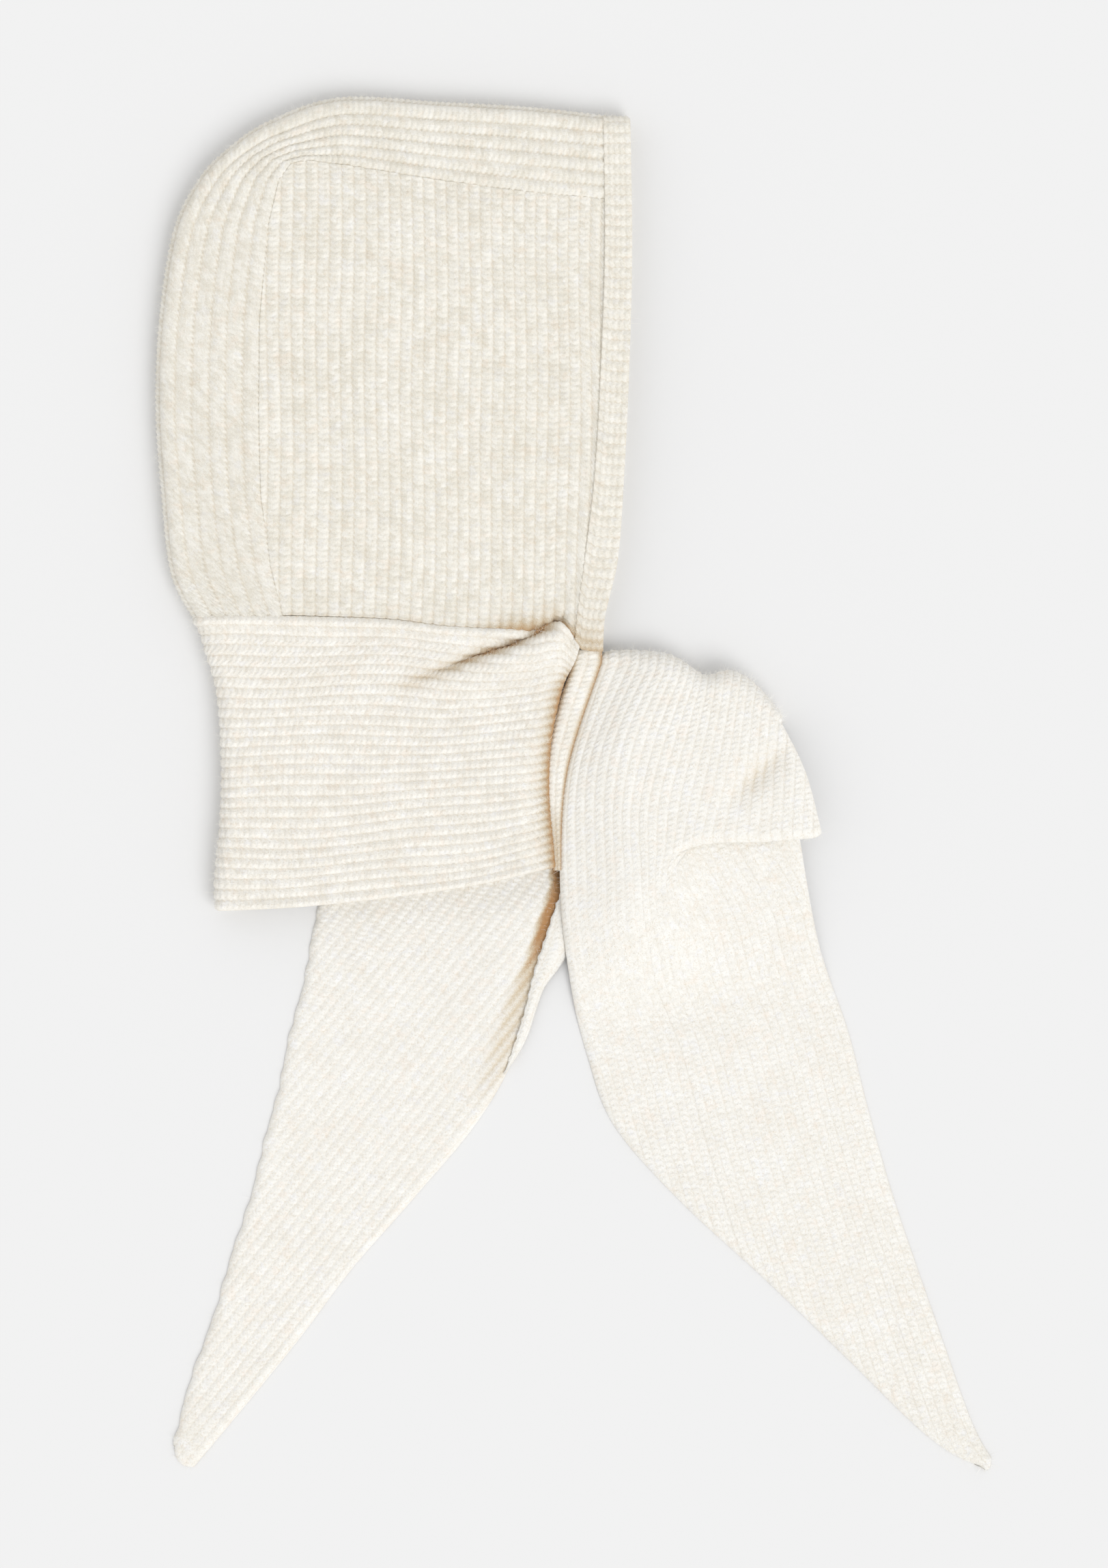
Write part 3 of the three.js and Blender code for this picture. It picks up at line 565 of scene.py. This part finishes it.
def hairpin(inner, outer, share, turn, wall):
    """A flattened fold: out from `inner` on the upper level, half a circle round the fold at `outer`, and
    back on the lower level. `turn` gives the shares at which the round begins and ends."""
    out = outer - inner
    out = out / np.linalg.norm(out, axis=-1, keepdims=True)
    guess = outer - out * (knit + lie_loft / 2)
    lift = (wall - knit) / 2
    radius = (upper_level(guess[..., 0], guess[..., 1]) - lower_level(guess[..., 0], guess[..., 1])) / 2
    centre = outer - out * (wall / 2 - lift + radius)[..., None]
    run = np.minimum(np.clip(share / turn[0], 0, 1), np.clip((1 - share) / (1 - turn[1]), 0, 1))
    flat = mix(inner, centre, run[..., None])
    angle = np.pi * np.clip((share - turn[0]) / (turn[1] - turn[0]), 0, 1)
    high, low = (level(flat[..., 0], flat[..., 1]) + lift for level in (upper_level, lower_level))
    p = flat + out * (radius * np.sin(angle))[..., None]
    return stack(p[..., 0], p[..., 1], mix(low, high, (1 + np.cos(angle)) / 2))


half_ribs = 5.2
fold_ribs = 2.5
gusset_ribs = 2 * half_ribs + fold_ribs
gusset_turn = (half_ribs / gusset_ribs, (half_ribs + fold_ribs) / gusset_ribs)


def gusset_place(w, t):
    """A hairpin from the seam to the fold at each share of the way, its foot eased onto the neck seam."""
    def fold(w):
        """The hairpin at w, before its foot is moved."""
        return hairpin(along(gusset_seam, w, straight=True), along(gusset_fold, w), t, gusset_turn, knit)

    p = fold(w)
    foot = fold(np.ones_like(w))
    p[..., 1] += (neck_y(foot[..., 0]) + seam_gap - foot[..., 1]) * ease(w, 1 - 1 / (len(gusset_rows) - 1), 1)
    return p


def gusset_stitch(w, t, p, run):
    """Ribs by the share across the strip, courses by the length along it."""
    return t * gusset_ribs, run[0] / course


def gusset_relief(w, t, p, run):
    """Fat ribs, pulled flat by the seam within the first half rib."""
    return mix(*gusset_reliefs, ease(t * gusset_ribs, 0, 0.6))


crown_gusset = knit_wall(
    "crown_gusset_knit", gusset_place, (course / 3, gusset_rib / 6), gusset_stitch, (sewn,) * 4, side=-1,
    relief=gusset_relief, slack=(even, lambda t: 1 + 1.6 * (t > gusset_turn[1])))
finish_piece(crown_gusset, hood_wool, "crown_gusset")


# The face band.
# The face opening is trimmed with a narrow doubled band, knitted crossways: its short ribs stand at right
# angles to the edge. It runs from the throat over the brow and back on the far side.

band_wall = 0.004
band_rib = 0.0056
band_turn = (0.45, 0.55)
band_underlap = 0.0008  # how far it runs in under the side
brow = gusset_rows[0, 1] * hood_height


def band_place(w, t):
    """A hairpin from the throat to the brow, moved sideways to lie between the seam and the face edge."""
    x = mix(band_seam_x(0.0), face_x(0.0), t)
    foot = np.stack([x, neck_y(x) + 2 * seam_gap], -1)
    p = hairpin(foot, np.stack([x, np.full_like(x, brow)], -1), w, band_turn, band_wall)
    p[..., 0] = mix(band_seam_x(p[..., 1]) - band_underlap, face_x(p[..., 1]), t)
    return p


def band_stitch(w, t, p, run):
    """Ribs by the length along the seam, courses by the share across the band."""
    return run[0][:, :1] / band_rib + 0 * t, t * band_width / course


def band_crease_shade(w, t, p, run):
    """Painted tan shade at the foot, in the shade behind the collar's peak, and a trace of it along the seam.
    """
    return 0.6 * np.exp(-run[0] / 0.012) + 0.12 * np.exp(-run[1] / 0.0016)


face_band = knit_wall(
    "face_band_knit", band_place, (band_rib / 7, 0.0008), band_stitch, (sewn, sewn, sewn, free), side=-1,
    wall=band_wall, relief=0.0005, crease=band_crease_shade, edge=0.6 * band_wall,
    slack=(lambda w: 1 + 2 * (w > band_turn[1]), even))
finish_piece(face_band, hood_wool, "face_band")


# The neck collar.
# A deep band of ribbed knit hangs from the neck seam, open at the throat and folded at the nape, its ribs
# running round the neck. A slanting fold runs up to the throat under the seam; the hem is thick and round.

collar_rib = 0.0055
hem_swell = 0.0008
seam_ridge = 0.0019
collar_turn = (0.42, 0.58)
collar_ribs = 29
# The collar's copy of the same yarn, lighter than the hood's as painted light; its groove and crease tans are
# painted shade.
collar_wool = wool("collar_wool", (0.93, 0.91, 0.855, 1), (0.80, 0.76, 0.68, 1),
                   (0.64, 0.54, 0.40, 1), (0.46, 0.26, 0.11, 1), groove_shade_depth=0.42, speckle=0.3)


def collar_place(w, t):
    """Round the neck with w, from the front end out to the nape fold and back beneath, and down it with t."""
    front = np.where(w < 0.5, collar_x(2, t), -seam_gap)
    zero = np.zeros_like(front)
    p = hairpin(np.stack([front, zero], -1), np.stack([collar_x(1, t), zero], -1), w, collar_turn, knit)
    x = p[..., 0]
    y = mix(neck_y(x) - seam_gap, hem_y(x), t)
    angle = np.pi * np.clip((w - collar_turn[0]) / (collar_turn[1] - collar_turn[0]), 0, 1)
    return stack(x, y, mix(lower_level(x, y), upper_level(x, y), (1 + np.cos(angle)) / 2))


def collar_stitch(w, t, p, run):
    """Ribs round the neck that wave a little, as wool does once it has been worn."""
    wave = 0.16 * np.sin(p[..., 0] / 0.017 + 9 * t) + 0.1 * np.sin(p[..., 0] / 0.041 - 14 * t)
    return t * collar_ribs + wave * ease(t, 0, 0.1) * (1 - ease(t, 0.9, 1)), run[0] / course


def collar_extra(w, t, p):
    """The thick round hem, and the ridge of the neck seam on the first rib."""
    hem = hem_swell * ease(t, 0.95, 1) * (w < collar_turn[0])
    return hem + seam_ridge * bell((t - 0.018) * collar_ribs, 0.45)


def collar_crease_shade(w, t, p, run):
    """Painted deep tan shade in the slanting groove and where the front end turns down at the throat, on top
    only.
    """
    past, strength = groove_distance(p[..., 0], p[..., 1])
    near = ease(p[..., 0], -0.08, -0.048)
    slanting = mix(0.36 * ease(p[..., 0], -0.115, -0.085), 0.95 * ease(strength, 0, 0.5), near)
    slanting = slanting * bell(past - mix(0.0005, 0.002, near), mix(0.0055, 0.0038, near))
    end = np.exp(-np.maximum(run[0] - 0.001, 0) / 0.005) * ease(t, 0.05, 0.3)
    return np.clip(slanting + 0.95 * end, 0, 1) * (w < collar_turn[0])


neck_collar = knit_wall(
    "neck_collar_knit", collar_place, (course / 3, collar_rib / 6), collar_stitch, (free, sewn, sewn, free),
    relief=0.0007, extra=collar_extra, crease=collar_crease_shade,
    slack=(lambda w: 1 + 1.6 * (w > collar_turn[1]), even))
finish_piece(neck_collar, collar_wool, "neck_collar")


# The upper tail.
# The tail that crosses over leaves the collar's lower layer, turns over in a puffed wing beside the throat,
# comes down over itself, tucks back in a pleat and runs out flat to its pointed tip.

wing_reach = 0.125
wing_drop = 0.103
wing_root = -0.13  # where its top edge leaves the throat, in shares of the wing's drop
wing_loft = 0.004
wing_dent = 0.0035
wing_dent_at = (0.098, -0.072)
wing_dent_size = (0.021, 0.0075)
pleat_depth = 0.018
tail_level = floor_level + knit + 3 * layer_gap
pleat_radius = knit / 2 + layer_gap
wing_level = tail_level + 4 * pleat_radius + wing_loft
wing_share = np.array((wing_reach, wing_drop))
crest = wing_share * [(0.088, -0.039), (0.24, -0.034), (0.4, -0.062), (0.545, -0.165),
                      (0.655, -0.142), (0.745, -0.192), (0.828, -0.294), (0.895, -0.4)]
crest_facing = np.radians((92, 70))  # which way the crest faces at its two ends, from +X
wing_middle = wing_share * [(-0.064, -0.7), (0.48, -0.56), (0.99, -0.69)]
lip = wing_share * [(-0.09, -1.3), (0.2, -1.33), (0.45, -1.08), (0.85, -1.04), (1.06, -1.02)]
# Left and right edge of the flat part, in shares of the tail's reach and length.
tail_over_rows = np.array([
    (-0.022, -0.415, 0.575, -0.356),
    (0.018, -0.498, 0.648, -0.465),
    (0.082, -0.581, 0.697, -0.559),
    (0.24, -0.671, 0.754, -0.659),
    (0.447, -0.766, 0.816, -0.751),
    (0.645, -0.861, 0.876, -0.836),
    (0.838, -0.954, 0.946, -0.934),
    (0.98, -1.0, 1.0, -0.988),
])
tail_over_size = np.array((tail_reach, tail_over_length))
zones = (0.12, 0.26, 0.44, 0.6)  # ends of the layer beneath, the crest, the wing's top and the pleat
# Beside the throat: w, and the point of the smooth curve that is reached there
smooth_rows = np.array([(0.26, 0), (0.44, 1.9), (0.6, 2.35), (0.65, 3), (1, 10)])


def dent(p):
    """From 0 to 1: a bell stretched along a line that slants up to the right."""
    x, y = np.moveaxis(p[..., :2] - wing_dent_at, -1, 0) / np.sqrt(2)
    return np.exp(-(((x + y) / wing_dent_size[0]) ** 2) - (((y - x) / wing_dent_size[1]) ** 2))


def wing_top(p, t):
    """Height of the wing's upper layer: eased up from the throat, less the dent."""
    return mix(crease_level, wing_level, ease(t, 0, 0.3)) - wing_dent * dent(p)


def crest_fold(t):
    """Middle, direction and radius of the round fold at the wing's crest."""
    facing = mix(crest_facing[0], crest_facing[1], t)
    out = np.stack([np.cos(facing), np.sin(facing)], -1)
    high = mix(crease_level, wing_level, ease(t, 0, 0.3))
    radius = (high - floor_level) / 2 * mix(1, 0.15, ease(t, 0.7, 1))
    return along(crest, t) - out * (radius + knit / 2)[..., None], out, radius


# The pleat seen from the free side: how far down each turn lies, in pleat radii and in pleat depths, and how
# far it has dropped, in pleat radii.
pleat_rows = np.array([(-1.4, 0, 0), (-0.3, 0, 0.3), (0, 0, 1), (0, 0.1, 1.7),
                       (0, 0.3, 2), (0, 0.95, 2.15), (0, 1.05, 3.1), (0, 0.95, 4)])


def pleat(t, q):
    """A Z-fold: q runs through its rows, and it opens from nothing at the throat to its full depth."""
    turn = q * (len(pleat_rows) - 1)
    radii, depths, drop = (np.interp(turn, np.arange(len(pleat_rows)), column) for column in pleat_rows.T)
    folded = ease(t, 0.36, 0.62)
    tuck = depths * pleat_depth * ease(t, 0.45, 1)
    down = mix(2 * q, radii, folded) * pleat_radius
    start = along(lip, t)
    z = wing_top(start, t) - drop * pleat_radius * folded
    return stack(start[..., 0] + 0.15 * down - 0.8 * tuck, start[..., 1] - down + 0.6 * tuck, z)


tip_start = 0.965  # w from which a tip is rounded
tip_bulge, tip_trim = 0.0035, 0.003


def tip_round(w, t, lean):
    """How far a tail's end bulges past its last row, along its lean: a parabola across it, less a trim."""
    bulge = tip_bulge * (1 - (2 * t - 1) ** 2) * ease(w, tip_start, 1) - tip_trim * ease(w, tip_start, 1)
    return stack(bulge * np.sin(lean), -bulge * np.cos(lean), 0)[..., :2]


def tail_over_place(w, t):
    """The five stretches of the tail one after another, each blended from its own two ends. Beside the
    throat, where the pleat has run out, one smooth curve takes the place of the last three."""
    under_end, crest_end, top_end, pleat_end = zones
    tt = t[..., None]
    centre, out, radius = crest_fold(t)
    root = mix(np.array((seam_gap, wing_root * wing_drop)), np.array((seam_gap, hem_y(0.0))), tt)
    p = mix(root, centre, np.clip(w / under_end, 0, 1)[..., None])
    beneath = stack(p[..., 0], p[..., 1], lower_level(p[..., 0], p[..., 1]))

    angle = np.pi * np.clip((w - under_end) / (crest_end - under_end), 0, 1)
    p = centre + out * (radius * np.sin(angle))[..., None]
    low = lower_level(centre[..., 0], centre[..., 1])
    round_crest = stack(p[..., 0], p[..., 1], mix(low, wing_top(centre, t), (1 - np.cos(angle)) / 2))

    s = np.clip((w - crest_end) / (top_end - crest_end), 0, 1)
    p = along([centre, along(wing_middle, t), pleat(t, 0 * t)[..., :2]], s)
    over = stack(p[..., 0], p[..., 1], wing_top(p, t))

    turned = pleat(t, np.clip((w - top_end) / (pleat_end - top_end), 0, 1))

    s = np.clip((w - pleat_end) / (1 - pleat_end), 0, 1)
    start = pleat(t, 1 + 0 * t)
    rows = [mix(tail_over_size * row[:2], tail_over_size * row[2:], tt) for row in tail_over_rows]
    p = along([start[..., :2], *rows], s)
    tail = stack(p[..., 0], p[..., 1], mix(start[..., 2], floor_level, ease(s, 0.02, 0.2)))
    folded = np.select([(w <= end)[..., None] for end in zones[:3:2] + zones[3:]], [over, over, turned], tail)
    at = np.interp(w, smooth_rows[:, 0], smooth_rows[:, 1])
    p = along([centre, along(wing_middle, t), along(lip, t), *rows], at / (len(rows) + 2))
    smooth = stack(p[..., 0], p[..., 1], mix(wing_top(p, t), floor_level, ease(at, 1.9, 3.7)))
    onward = mix(smooth, folded, ease(t, 0.3, 0.55)[..., None])
    onward[..., :2] += tip_round(w, t, 0.3)
    return np.select([(w <= end)[..., None] for end in zones[:2]], [beneath, round_crest], onward)


wing_ribs = 23
wing_lean = np.radians((17, 3))  # at the throat and at the free side
wing_line = 0.0056  # from one slanting line to the next
wing_line_start, wing_line_first = 0.0285, 2.1
wing_pivot = 0.07  # how far below the throat the lines turn as they lean
tail_over_ribs = 27
cut_start = 0.64  # w from which the left edge cuts ribs off


def scatter(ribs):
    """A random shift of the courses, the same all along a rib."""
    return np.random.default_rng(5).random(200)[np.floor(ribs).astype(int) % 200]


def tail_over_stitch(w, t, p, run):
    """Ribs that follow the left edge of the wing and then slanting lines across it. On the flat tail they are
    counted by real distance from the right edge, so the shaped left edge cuts them off."""
    lean = mix(*wing_lean, ease(p[..., 0], 0.05, 0.12))
    lines = p[..., 0] * np.cos(lean) - (p[..., 1] + wing_pivot) * np.sin(lean) + wing_line_start
    lines = lines / wing_line - wing_line_first
    down = run[0] - run[0][np.searchsorted(w[:, 0], zones[2])]
    past_pleat = mix(ease(down, -0.045, 0.035), ease(w, zones[2], zones[3]), ease(t, 0.4, 0.6))
    wing = mix(t * wing_ribs, lines, ease(t, 0.08, 0.45) * (1 - past_pleat))
    width = run[1][:, -1:]
    top_width = width[np.searchsorted(w[:, 0], cut_start)]
    cut_off = np.where(w < cut_start, 0, top_width - width)
    ribs = mix(wing, (run[1] + cut_off) * tail_over_ribs / top_width, past_pleat)
    return ribs, (p[..., 2] - p[..., 1]) / course + scatter(ribs)


# The tails' copy of the same yarn, lighter than the hood's and with weaker groove shade, as painted light; its
# groove and crease tans are painted shade.
tail_wool = wool("tail_wool", (0.91, 0.898, 0.858, 1), (0.84, 0.812, 0.75, 1),
                 (0.66, 0.56, 0.41, 1), (0.44, 0.23, 0.09, 1), groove_shade_depth=0.27, speckle=0.33)


def stretched(p):
    """From 0 to 1: where the upper tail hangs from the wing and is pulled flat, beside the throat."""
    return bell(p[..., 1] + 0.17, 0.045) * (1 - ease(p[..., 0], 0.02, 0.075))


def tail_over_relief(w, t, p, run):
    """Low ribs that fade out at the tip, where the knit is stretched and towards the wing's far side."""
    low = mix(0.00034, 0.00019, ease(w, zones[1], zones[3])) * (1 - 0.45 * ease(p[..., 0], 0.045, 0.1))
    return low * ease(run[1][:, -1:], 0.008, 0.04) * (1 - 0.85 * stretched(p))


def tail_over_crease_shade(w, t, p, run):
    """A little painted tan shade in the dent and along the wing's left side, where it turns down to the
    throat, and less groove shade where the knit is stretched.
    """
    top = (w > zones[1]) & (w < zones[2])
    side = np.exp(-run[1] / 0.003) * (w > zones[0]) * (1 - ease(w, 0.5, 0.62))
    return 0.24 * dent(p) * top + 0.4 * side - 0.8 * stretched(p) * (w > 0.36)


tail_over = knit_wall(
    "tail_over_knit", tail_over_place, (course / 3, 0.00062), tail_over_stitch, (sewn, free, free, free),
    relief=tail_over_relief, closing=1, rounding=1.5, crease=tail_over_crease_shade,
    slack=(lambda w: 1 + 1.5 * (w < zones[0]), even))
finish_piece(tail_over, tail_wool, "tail_over")


# The lower tail.
# The other tail comes out from beneath the collar's hem and lies flat to its tip. Its ribs slant up to the
# right and end at the shaped left edge; the border towards the throat is rolled up, a deep crease beside it.

tail_under_length = 0.457
border_level = 0.0052  # middle of the folded border, which lies on the tail
border_wall = 0.0026
border_end = -0.237
body_swell = 0.0016
tail_under_rib = 0.0053
tail_under_rows = np.array([
    (-0.606, 0, -0.075, 0),
    (-0.636, -0.322, -0.04, -0.3),
    (-0.671, -0.407, -0.09, -0.396),
    (-0.711, -0.49, -0.153, -0.492),
    (-0.754, -0.582, -0.25, -0.578),
    (-0.803, -0.672, -0.404, -0.67),
    (-0.855, -0.757, -0.553, -0.755),
    (-0.908, -0.838, -0.675, -0.836),
    (-0.956, -0.91, -0.798, -0.912),
    (-0.995, -0.978, -0.945, -1.0),
])
tail_under_rows[0, [1, 3]] = (hem_y(-0.63 * collar_width) + tail_tuck) / tail_under_length
tail_under_size = np.array((tail_reach, tail_under_length))
slant = np.radians(51)


def slant_ribs(p):
    """Rib number by the distance from the lower right edge."""
    x, y = p[..., 0] + tail_reach * 0.945, p[..., 1] + tail_under_length
    return (y * np.cos(slant) - x * np.sin(slant)) / tail_under_rib


# The folded border: its selvedge, which lies on the tail, and its fold, by height
border_rows = np.array([
    # y, selvedge x, fold x
    (-0.262, -0.055, -0.055),
    (-0.25, -0.0482, -0.0482),
    (-0.237, -0.0421, -0.0417),
    (-0.2177, -0.0352, -0.0308),
    (-0.2001, -0.0297, -0.0249),
    (-0.1884, -0.0272, -0.0202),
    (-0.1767, -0.0242, -0.0112),
    (-0.165, -0.0202, -0.005),
    (-0.151, -0.0156, -0.004),
    (-0.134, -0.0095, -0.003),
])


def tuck_distance(x, y):
    """How far a point lies to the right of the border's selvedge, and how strong the crease is there."""
    return x - track(border_rows, 1, y), ease(y, -0.25, -0.185)


def tail_under_edge(points, bump):
    """Moves the points of the shaped left edge out and in where the ribs end, by sines of the rib number."""
    ribs = slant_ribs(points)
    wave = np.abs(np.sin(np.pi * ribs)) + 0.7 * np.sin(1.3 * ribs) + 0.4 * np.sin(4.1 * ribs)
    return points - np.stack([bump * (wave - 0.6), np.zeros_like(ribs)], -1)


def tail_under_place(w, t):
    """Rows across the tail from its left edge to its right, with a low swell beside the border."""
    left = tail_under_edge(along(list(tail_under_size * tail_under_rows[:, :2]), w), 0.0007)
    right = along(list(tail_under_size * tail_under_rows[:, 2:]), w)
    p = mix(left, right, t[..., None])
    p[..., :2] += tip_round(w, t, -0.68)
    past, strength = tuck_distance(p[..., 0], p[..., 1])
    clear = ease(hem_y(p[..., 0]) - layer_gap - p[..., 1], 0.002, 0.02)
    swell = body_swell * ease(-past, 0.0, 0.014) * (1 - ease(-past, 0.014, 0.06))
    return stack(p[..., 0], p[..., 1], floor_level + swell * strength * clear)


def tail_under_relief(w, t, p, run):
    """Low ribs that fade out at the narrow tip."""
    return 0.00031 * ease(run[1][:, -1:], 0.008, 0.04) + 0 * t


def tail_under_stitch(w, t, p, run):
    """Ribs as parallel slanting lines, counted from the lower right edge, with the courses along them."""
    ribs = slant_ribs(p)
    return ribs, (p[..., 0] * np.cos(slant) + p[..., 1] * np.sin(slant)) / course + scatter(ribs)


# How dark the painted shade in the crease is at each height
crease_shade_rows = np.array([(-0.262, 0), (-0.245, 0.2), (-0.225, 0.3), (-0.2, 0.36), (-0.184, 0.48),
                        (-0.172, 0.72), (-0.16, 0.95), (-0.13, 0.95)])


def tail_under_crease_shade(w, t, p, run):
    """Painted brown shade in the crease beside the border's selvedge, darkest and narrowest where it comes out
    from under the hem.
    """
    past, _ = tuck_distance(p[..., 0], p[..., 1])
    y = p[..., 1]
    core = 0.004 + 0.004 * ease(-y, 0.17, 0.21)
    return track(crease_shade_rows, 1, y) * (1 - ease(-past, core, core + 0.006 + 0.005 * ease(-y, 0.17, 0.2)))


tail_under = knit_wall(
    "tail_under_knit", tail_under_place, (0.00095, 0.00075), tail_under_stitch, (sewn, free, free, free),
    relief=tail_under_relief, closing=1, rounding=1.5, crease=tail_under_crease_shade)
finish_piece(tail_under, tail_wool, "tail_under")


def border_place(w, t):
    """A strip from the fold to the selvedge, highest along its middle, bent down to the fold by a quarter
    ellipse and sinking away at its lower end."""
    y = mix(border_rows[-1, 0], border_end, w)
    selvedge, fold = track(border_rows, 1, y), track(border_rows, 2, y)
    bead = 0.0004 * np.sin(2 * np.pi * y / 0.0071) + 0.0003 * np.sin(2 * np.pi * y / 0.0043)
    bead = bead * ease(t, 0.5, 1)
    arch = np.sqrt(1 - (1 - ease(t, 0, 0.5)) ** 2)
    z = mix(floor_level + 0.0006, border_level, arch) - 0.001 * ease(t, 0.6, 1)
    z = mix(z, floor_level + 0.0008, ease(w, 0.7, 1))
    return stack(mix(fold, selvedge, t) + bead, y, z)


def border_stitch(w, t, p, run):
    """Two ribs across the strip, courses by the length along it."""
    return 2 * t + 0.5, run[0][:, :1] / course + 0 * t


tail_border = knit_wall(
    "tail_border_knit", border_place, (course / 4, 0.0006), border_stitch, (free,) * 4, wall=border_wall,
    relief=0.0004, closing=1)
tail_border.data.materials.append(tail_wool)
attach(tail_border, "root")


# The throat edge.
# Between the collar's front end and the wing shows the turned-in selvedge of the collar, a row of stitches
# that looks like a cord laid along it.

throat_edge_rib = 0.0024
throat_edge_top = 0.003
edge_past_hem = 0.002
edge_tucks = (0.0022, 0.0008)  # how far it runs in under the collar and under the wing
edge_drop = 0.0006  # how far it lies below the crease level
wing_left = np.array([lip[0], wing_middle[0], crest_fold(np.zeros(1))[0][0]])[:, ::-1]


def edge_place(w, t):
    """A strip between the collar's front end and the wing's left side, from the throat down to the hem."""
    y = mix(-throat_edge_top, hem_y(0.0) - edge_past_hem, w)
    seam = neck_y(0.0)
    left = collar_x(2, (seam - y) / (seam - hem_y(0.0))) - edge_tucks[0]
    right = track(wing_left, 1, y) + edge_tucks[1]
    return stack(mix(left, right, t), y, crease_level - edge_drop)


def edge_stitch(w, t, p, run):
    """Two ribs across the strip, courses by the length along it."""
    return 2 * t, run[0][:, :1] / course + 0 * t


def edge_cord(w, t, p):
    """A parabola across the strip, highest along its middle."""
    return throat_edge_rib * (0.5 - (2 * t - 1) ** 2)


def edge_crease_shade(w, t, p, run):
    """Painted tan shade in the grooves beside the cord, and all over it towards the hem, where it sinks in."""
    return np.clip(0.9 * np.abs(2 * t - 1) ** 3 + 0.45 * ease(w, 0.6, 0.9), 0, 0.9)


throat_edge = knit_wall(
    "throat_edge_knit", edge_place, (course / 4, 0.0005), edge_stitch, (free,) * 4, relief=0.0003,
    extra=edge_cord, crease=edge_crease_shade)
finish_piece(throat_edge, collar_wool, "throat_edge")


# Loose fibres.
# Wool stands off its own surface in a thin halo of short bent fibres, thickest where the cloth turns away.
# Each one is a narrow ribbon that tapers to a point.

fibre_count = 30000
fibre_length = (0.0018, 0.005)
fibre_width = 0.00009
rng = np.random.default_rng(11)
skin = np.concatenate([points for points, _ in surfaces.values()])
facing = np.concatenate([normals for _, normals in surfaces.values()])
weight = np.where(facing[:, 2] > -0.3, np.where(facing[:, 2] < 0.6, 4.0, 1.0), 0.0)
picked = rng.choice(len(skin), fibre_count, p=weight / weight.sum())
root, out = skin[picked], facing[picked]


def unit(vectors):
    """Each vector divided by its own length."""
    return vectors / np.linalg.norm(vectors, axis=1, keepdims=True)


heading = unit(rng.normal(size=(fibre_count, 3)) + 0.7 * out)
bend = rng.normal(size=(fibre_count, 3)) * 0.6
across = unit(np.cross(heading, rng.normal(size=(fibre_count, 3)))) * fibre_width / 2
length = rng.uniform(*fibre_length, (fibre_count, 1))
stages = [root + length * (heading * share + bend * share**2 / 2) for share in (0, 0.35, 0.7, 1)]
ribbon = np.stack([stages[0] - across, stages[0] + across, stages[1] - across, stages[1] + across,
                   stages[2] - 0.7 * across, stages[2] + 0.7 * across, stages[3]], axis=1)
ribbon[..., 2] = np.maximum(ribbon[..., 2], 0.0001)
first = 7 * np.arange(fibre_count)[:, None]
quads = np.concatenate([first + (0, 1, 3, 2), first + (2, 3, 5, 4)])
tips = first + (4, 5, 6)
fibre_mesh = bpy.data.meshes.new("loose_fibres")
fibre_mesh.from_pydata(ribbon.reshape(-1, 3).tolist(), [], quads.tolist() + tips.tolist())
loose_fibres = add_object("loose_fibres", fibre_mesh)

fibre_wool, fibre_nodes, fibre_links, fibre_shader = add_material("fibre_wool")
fibre_where = fibre_nodes.new("ShaderNodeTexCoord")
fibre_noise = fibre_nodes.new("ShaderNodeTexNoise")
fibre_noise.inputs["Scale"].default_value = 300
fibre_tones = fibre_nodes.new("ShaderNodeValToRGB")
tones = ((0.35, (0.86, 0.83, 0.76, 1)), (0.6, (0.95, 0.94, 0.91, 1)))
for element, (position, color) in zip(fibre_tones.color_ramp.elements, tones):
    element.position, element.color = position, color
fibre_links.new(fibre_where.outputs["Object"], fibre_noise.inputs["Vector"])
fibre_links.new(fibre_noise.outputs["Fac"], fibre_tones.inputs["Fac"])
fibre_links.new(fibre_tones.outputs["Color"], fibre_shader.inputs["Base Color"])
set_inputs(fibre_shader, {"Roughness": 0.8, "Specular IOR Level": 0.2})
fibre_mesh.materials.append(fibre_wool)
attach(loose_fibres, "root")


# The floor, the light and the camera.
# The hood lies on a plain pale studio floor under soft even light, brighter from the lower right, and the
# camera looks straight down on it.

view_height = 0.8665  # what the photograph's frame takes in, in metres
camera_height = 2.6
view_middle = (-0.0113, 0.00045)

floor_mesh = bpy.data.meshes.new("floor")
floor_mesh.from_pydata([(-4, -4, 0), (4, -4, 0), (4, 4, 0), (-4, 4, 0)], [], [(0, 1, 2, 3)])
floor = add_object("floor", floor_mesh)
floor.location.z = -0.0002
paper, _, _, paper_shader = add_material("floor_paper")
set_inputs(paper_shader, {"Base Color": (0.8, 0.8, 0.8, 1), "Roughness": 1.0, "Specular IOR Level": 0.0})
floor_mesh.materials.append(paper)
floor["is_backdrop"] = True

world = bpy.data.worlds.new("studio")
bpy.context.scene.world = world
world.use_nodes = True
set_inputs(world.node_tree.nodes["Background"], {"Color": (1, 1, 1, 1), "Strength": 0.82})

key = bpy.data.lights.new("key", "SUN")
key.energy = 1.15
key.angle = np.radians(35)
key_object = add_object("key", key)
key_object.rotation_euler = (np.radians(38), 0, np.radians(40))

camera = bpy.data.cameras.new("camera")
camera.sensor_width = 36
camera.lens = 36 * camera_height / view_height
camera_object = add_object("camera", camera)
camera_object.location = (*view_middle, camera_height)
bpy.context.scene.camera = camera_object
bpy.context.scene.view_settings.view_transform = "Standard"
